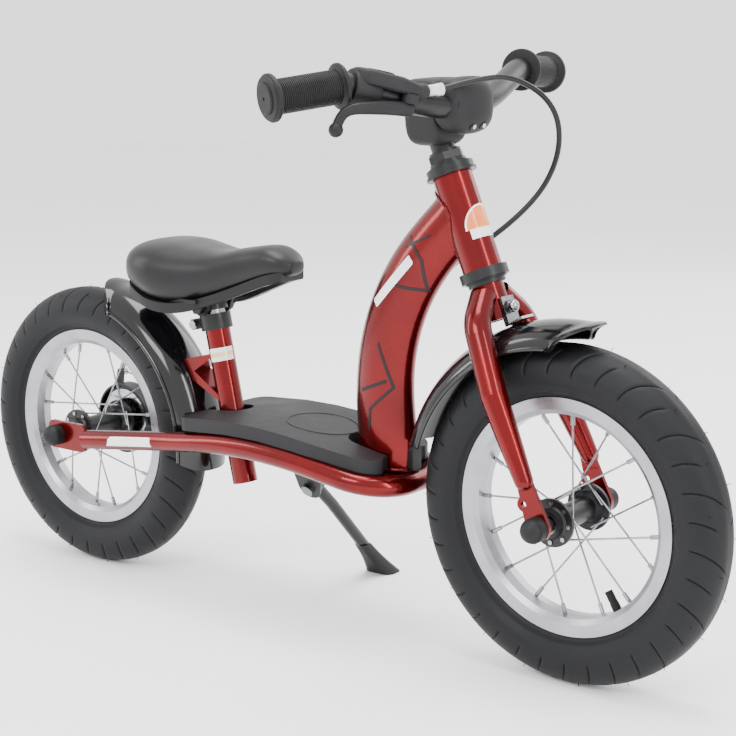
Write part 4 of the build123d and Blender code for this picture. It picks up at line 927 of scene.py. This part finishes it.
def add_lever_details():
    add_lever_housing()
    ring = [(-1.0, 1.0), (0.5, 1.0), (0.9, 0.96), (0.9, 0.90), (0.25, 0.86), (0.25, 0.80), (0.8, 0.74)]
    ring.append((1.0, 0.4))
    vertices, faces = oval_button((16, 6, 16.9), 12, 7.8, -0.3, ring)
    add_piece("lever_housing_buttons", vertices, faces, GRIP_RUBBER, "bars")

    route = smooth_route([
        at_lever(-13, 16, -8.5), at_lever(2, 18, -10), at_lever(24, 20.8, -14.5),
        at_lever(42, 20, -19), at_lever(49.5, 19.3, -24.5), at_lever(52.5, 19, -33), at_lever(53, 19, -38),
    ], 10)
    rings = []
    up = turned(LEVER_UP, BAR_TURN)
    for k, point in enumerate(route):
        share = k / (len(route) - 1)
        tangent = (route[min(k + 1, len(route) - 1)] - route[max(k - 1, 0)]).normalized()
        side = tangent.cross(up).normalized()
        high = side.cross(tangent)
        half_high = (6.2 - 2.0 * smoothstep(share * 1.3)) * MM
        half_wide = (4.6 - 0.8 * smoothstep(share * 1.3)) * MM
        ring = []
        for angle in round_angles(20):
            c, s = math.cos(angle), math.sin(angle)
            ring.append(
                point + side * half_wide * math.copysign(abs(c) ** 0.8, c)
                + high * half_high * math.copysign(abs(s) ** 0.8, s)
            )
        rings.append(ring)
    blade = closed_loft(rings)
    angles = [math.pi * k / 12 for k in range(13)]
    profile = [(BALL_RADIUS * math.cos(a) * -1, max(BALL_RADIUS * math.sin(a), 0.3)) for a in angles]
    ball = lathe(at_lever(53, 19, -39), up, profile, 32)
    profile = [(0, 3.5), (0, 4.9), (0.3, 5.2), (8.1, 5.2), (8.4, 4.9), (8.4, 3.5)]
    boss = lathe(at_lever(*LEVER_PIVOT, -13), up, profile, 32)
    vertices, faces = joined([blade, ball, boss])
    lever = add_piece("brake_lever_blade", vertices, faces, MATTE_PLASTIC, "lever", ["brake_lever"], 50)


COVER_FRONT_STATIONS = [
    # distance left of the middle, back, front, lower and upper edge, in millimetres
    (-29.5, 474, 484, 500, 512), (-28.5, 471, 490, 492, 519), (-26, 470, 495, 486, 524),
    (-20, 470, 498, 481, 527), (-10, 470, 499.7, 478.6, 528.3), (0, 470, 500, 478, 528.5),
]
COVER_REAR_STATIONS = [
    (-25.5, 440, 470, 499, 515), (-24.5, 437, 471, 491, 521), (-21.5, 434, 471.5, 478, 525),
    (-17, 432, 472, 470, 527), (-8, 431.3, 472, 467.2, 527), (0, 431, 472, 467, 527),
]
COVER_SLOT_AXIS = (0.926, 0, -0.377)
COVER_SLOT_X, COVER_SLOT_Z = 497.9, 485.25


def cover_shell(stations, power, shift):
    """One half of the bar cover: rounded sections from side to side, set off to the left."""
    rings = []
    mirrored_stations = stations + [(-row[0], *row[1:]) for row in reversed(stations[:-1])]
    for y, back, front, low, high in mirrored_stations:
        ring = []
        for angle in round_angles(56):
            c, s = math.cos(angle), math.sin(angle)
            x = (back + front) / 2 + (front - back) / 2 * math.copysign(abs(c) ** (2 / power), c)
            z = (low + high) / 2 + (high - low) / 2 * math.copysign(abs(s) ** (2 / power), s)
            ring.append(on_bars(x, y + shift, z))
        rings.append(ring)
    return closed_loft(rings)


def add_bar_cover_details():
    for name, node, stations, power, shift in (
        ("bar_cover_front_shell", "bar_cover_front", COVER_FRONT_STATIONS, 3.0, 4),
        ("bar_cover_rear_shell", "bar_cover_rear", COVER_REAR_STATIONS, 6.5, 1),
    ):
        vertices, faces = cover_shell(stations, power, shift)
        piece = add_piece(name, vertices, faces, MATTE_PLASTIC, "bars", [node], 50)
        rounding = piece.modifiers.new("smoothing", "SUBSURF")
        rounding.levels = rounding.render_levels = 1

    axis = turned(COVER_SLOT_AXIS, BAR_TURN)
    slots, screws = [], []
    for y in (-1, 12):
        centre = on_bars(COVER_SLOT_X, y, COVER_SLOT_Z)
        for step in (-2.2, -1.1, 0, 1.1, 2.2):
            place = on_bars(COVER_SLOT_X - 0.1 * abs(step), y + step, COVER_SLOT_Z + 0.45 * step)
            slots.append(lathe(place, axis, [(-2, 1), (-2, 2.4), (0.25, 2.4), (0.25, 0.3)], 24))
        profile = [(-1, 1), (0.3, 2.0), (0.75, 1.9), (0.95, 1.2), (0.5, 0.9), (0.5, 0.2)]
        screws.append(lathe(centre, axis, profile, 24))
    vertices, faces = joined(slots)
    add_piece("cover_slots", vertices, faces, BLACK_PAINT, "bars", (), 30)
    root, end = at_lever(*ADJUSTER_ROOT), on_bars(*ADJUSTER_END)
    barrel = [(-10, 2), (-10, 4), (4, 4.0), (4.2, 4.8), (11.5, 4.8), (12, 5.4), (16.5, 5.4)]
    barrel += [(17, 4.2), (17, 2.6)]
    scale = (end - root).length / (17 * MM)
    screws.append(lathe(root, end - root, [(along * scale, radius) for along, radius in barrel], 32))
    vertices, faces = joined(screws)
    heads = add_piece("adjuster_and_screw_heads", vertices, faces, BRIGHT_ZINC, "bars", ["bar_fasteners"], 30)


# Brake cable ------------------------------------------------------------------------------------
LOOP_AT_BARS = [ADJUSTER_END, (506, -12, 526), (523, 24, 528)]
LOOP_MIDDLE = [(544, 54, 503), (545, 61, 458), (523, 48, 412)]
CABLE_CLIP = (497, 22.5, 386)


def add_cable_loop():
    """The free loop in two stretches that share the middle point of its route."""
    points = [on_bars(*p) for p in LOOP_AT_BARS] + [from_rear(*p) for p in LOOP_MIDDLE + [CABLE_CLIP]]
    route = smooth_route(points, 16)
    split = len(route) // 2
    for name, stretch, bodies, replaced in (
        ("brake_cable_upper", route[:split + 1], ("bars", "fork"), ["brake_cable_loop"]),
        ("brake_cable_lower", route[split:], ("fork", "frame"), []),
    ):
        vertices, faces = tube(stretch, 2.5 * MM, 16)
        piece = add_piece(name, vertices, faces, CABLE_SKIN, None, [], 60)
        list(bodies)
        tuple(stretch[0])
        tuple(stretch[-1])
        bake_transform(piece)
        if replaced:
            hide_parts(*replaced)


# Deck and kickstand -----------------------------------------------------------------------------
SHEET_STATIONS = [(160, 169), (214, 174), (271, 175.6), (332, 171), (385, 162.5), (422, 155.5)]
PAD_TOP = 23.8


def add_deck_details():
    bevelled("deck_pad", "frame", 3.0, DECK_RUBBER, 4)
    rings = []
    for radius, height in ((33, -0.4), (32.9, 0.35), (32.4, 0.55), (31.6, 0.55), (31.1, 0.35), (31, -0.4)):
        ring = []
        for angle in round_angles(96):
            x, y = 318 + radius * math.cos(angle) * 1.15, radius * math.sin(angle)
            ring.append(from_rear(x, y, interpolate(SHEET_STATIONS, x)[0] + PAD_TOP + height))
        rings.append(ring)
    vertices = [point for ring in rings for point in ring]
    faces = ring_faces(len(rings), 96)
    add_piece("deck_pad_ring", vertices, faces, DECK_RUBBER, "frame")
    bevelled("kickstand_foot", "kickstand", 1.5, DECK_RUBBER)


# Frame: weld beads and plain marks ---------------------------------------------------------------
SPINE_BASE_X, SPINE_BASE_Z = 394.4, 166.0
SPINE_STRAIGHT_TOP, SPINE_ARC_RADIUS = 238.0, 201.0
SPINE_LEAN = math.radians(40)


def spine_size(share):
    """Half length and half width of the spine's oval at a share of its height."""
    return 31.8 - 4.6 * share, 18.8 - 1.4 * share


def spine_side(x, z, lift=0.3):
    """The point on the right side of the spine tube that shows at (x, z) from the side."""
    if z < SPINE_STRAIGHT_TOP:
        away = x - SPINE_BASE_X
        share = (z - SPINE_BASE_Z) / (SPINE_STRAIGHT_TOP - SPINE_BASE_Z) / 7
    else:
        dx, dz = SPINE_BASE_X + SPINE_ARC_RADIUS - x, z - SPINE_STRAIGHT_TOP
        away = SPINE_ARC_RADIUS - math.hypot(dx, dz)
        share = (math.degrees(math.atan2(dz, dx)) / 8 + 1) / 7
    half_length, half_width = spine_size(share)
    inside = max(1 - (away / half_length) ** 2, 0.02)
    return from_rear(x, -half_width * math.sqrt(inside) - lift, z)


def bead(points, radius, seed):
    """A closed weld bead: a tube that swells and shrinks along its ripples."""
    scatter = random.Random(seed)
    closed = points + points[:2]
    vertices, faces = tube(closed, radius, 8)
    for ring in range(len(closed)):
        centre = closed[ring]
        swell = 1 + 0.16 * math.sin(ring * 1.9) + scatter.uniform(-0.08, 0.08)
        for k in range(8):
            index = ring * 8 + k
            vertices[index] = centre + (vertices[index] - centre) * swell
    return vertices, faces


def add_weld_beads():
    half_length, half_width = spine_size(0)
    low = []
    for angle in round_angles(110):
        low.append(from_rear(
            SPINE_BASE_X + (half_length + 0.4) * math.cos(angle), (half_width + 0.4) * math.sin(angle),
            SPINE_BASE_Z + 1,
        ))
    half_length, half_width = spine_size(6 / 7)
    lean_forward = Vector((math.sin(SPINE_LEAN), 0, math.cos(SPINE_LEAN)))
    outward = Vector((math.cos(SPINE_LEAN), 0, -math.sin(SPINE_LEAN)))
    arc_end = from_rear(
        SPINE_BASE_X + SPINE_ARC_RADIUS * (1 - math.cos(SPINE_LEAN)), 0,
        SPINE_STRAIGHT_TOP + SPINE_ARC_RADIUS * math.sin(SPINE_LEAN),
    )
    high = []
    for angle in round_angles(110):
        across_oval = outward * half_length * math.cos(angle) + Y_AXIS * half_width * math.sin(angle)
        start = arc_end + across_oval * MM
        across = start - STEER_POINT
        across -= STEER_AXIS * across.dot(STEER_AXIS)
        travel = lean_forward - STEER_AXIS * lean_forward.dot(STEER_AXIS)
        a, b, c = travel.dot(travel), 2 * across.dot(travel), across.dot(across) - (18.2 * MM) ** 2
        root = max(b * b - 4 * a * c, 0)
        high.append(start + lean_forward * (-b - math.sqrt(root)) / (2 * a))
    vertices, faces = joined([bead(low, 1.5 * MM, 1), bead(high, 1.6 * MM, 2)])
    add_piece("weld_beads", vertices, faces, RED, "frame", (), 60)


def patch(name, place, outline, material, body, rows=16, columns=24):
    """A thin printed mark: an outline in (u, v) millimetres, laid on a surface by place(u, v)."""
    low, high = min(v for _, v in outline), max(v for _, v in outline)
    vertices = []
    for row in range(rows + 1):
        v = low + (high - low) * (0.002 + 0.996 * row / rows)
        crossings = []
        for (u0, v0), (u1, v1) in zip(outline, outline[1:] + outline[:1]):
            if (v0 - v) * (v1 - v) <= 0 and v0 != v1:
                crossings.append(u0 + (u1 - u0) * (v - v0) / (v1 - v0))
        left, right = min(crossings), max(crossings)
        vertices += [place(left + (right - left) * k / columns, v) for k in range(columns + 1)]
    faces = ring_faces(rows + 1, columns + 1, closed_ring=False)
    add_piece(name, vertices, faces, material, body)


def round_tube_place(origin, axis, facing, radius):
    """A place(u, v) for a round tube: u round it from the facing direction, v along its axis."""
    axis = Vector(axis).normalized()
    facing = Vector(facing)
    facing = (facing - axis * facing.dot(axis)).normalized()
    other = axis.cross(facing)

    def place(u, v):
        angle = u / radius
        outward = math.cos(angle) * facing + math.sin(angle) * other
        return Vector(origin) + axis * v * MM + outward * radius * MM

    return place


def half_disc(radius, count=24):
    return [(radius * math.cos(math.pi * k / count), radius * math.sin(math.pi * k / count))
            for k in range(count + 1)]


def stripe(points, width):
    """Outlines of a band's straight runs; each run is a four-sided outline in (x, z)."""
    outlines = []
    for (x0, z0), (x1, z1) in zip(points, points[1:]):
        length = math.hypot(x1 - x0, z1 - z0)
        nx, nz = -(z1 - z0) / length * width / 2, (x1 - x0) / length * width / 2
        ex, ez = (x1 - x0) / length * width * 0.4, (z1 - z0) / length * width * 0.4
        outlines.append([
            (x0 - ex + nx, z0 - ez + nz), (x1 + ex + nx, z1 + ez + nz),
            (x1 + ex - nx, z1 + ez - nz), (x0 - ex - nx, z0 - ez - nz),
        ])
    return outlines


def add_marks():
    """Plain marks without lettering where the bike has its printed decoration."""
    badge_foot = STEER_FOOT + STEER_AXIS * 262.7 * MM
    for name, radius, lift, material in (
        ("badge_border", 21.4, 0.15, WHITE_MARK), ("badge_half_disc", 19.8, 0.3, ORANGE_MARK)
    ):
        place = round_tube_place(badge_foot, STEER_AXIS, STEER_FORWARD, 18 + lift)
        patch(name, place, half_disc(radius), material, "frame", 24, 40)
    place = round_tube_place(badge_foot, STEER_AXIS, STEER_FORWARD, 18.3)
    patch("badge_band", place, [(-18, -8.6), (18, -8.6), (18, 0.4), (-18, 0.4)], WHITE_MARK, "frame",
          4, 40)

    seat_low, seat_top = from_rear(214.2, 0, 120.7), from_rear(180.9, 0, 276.5)
    seat_axis = (seat_top - seat_low).normalized()
    facing = Vector((0.6, -0.8, 0))
    for name, lift, material, outline in (
        ("seat_tube_band", 0.12, WHITE_MARK, [(-13, 126), (15, 126), (15, 139.5), (-13, 139.5)]),
        ("seat_tube_band_gold", 0.2, GOLD_MARK, [(-13, 130.5), (15, 130.5), (15, 135), (-13, 135)]),
    ):
        place = round_tube_place(seat_low, seat_axis, facing, 12.7 + lift)
        patch(name, place, outline, material, "frame", 6, 30)

    stay_start, stay_end = from_rear(42, -58, 152), from_rear(150, -56, 165)
    place = round_tube_place(stay_start, stay_end - stay_start, (0, -1, 0.1), 10.15)
    label = [(-4.5, 44), (-4.5, 104), (5.6, 108), (5.6, 39)]
    patch("stay_label", place, label, WHITE_MARK, "frame", 20, 12)

    plate = [(391.5, 325.5), (398, 319.5), (440.5, 363.5), (434.5, 370)]
    patch("spine_plate", spine_side, plate, WHITE_MARK, "frame", 20, 20)
    bands = stripe([(400, 286), (415, 245), (390.5, 223), (389, 204)], 3.0)
    bands += stripe([(380.5, 240), (407, 250.5)], 3.4)
    bands += stripe([(434, 386), (449, 366), (450.5, 338), (421, 341)], 3.2)
    bands += stripe([(431, 378), (458, 389)], 2.4)
    for k, outline in enumerate(bands):
        patch(f"spine_stripe_{k}", spine_side, outline, DARK_MARK, "frame", 14, 6)


# Build ------------------------------------------------------------------------------------------
add_camera()
add_studio()
add_floor()
paint_cad_nodes()
add_wheels()
add_mudguards()
add_saddle()
add_saddle_base()
add_grips()
add_lever_details()
add_bar_cover_details()
add_cable_loop()
add_deck_details()
add_weld_beads()
add_marks()

bpy.context.view_layer.update()
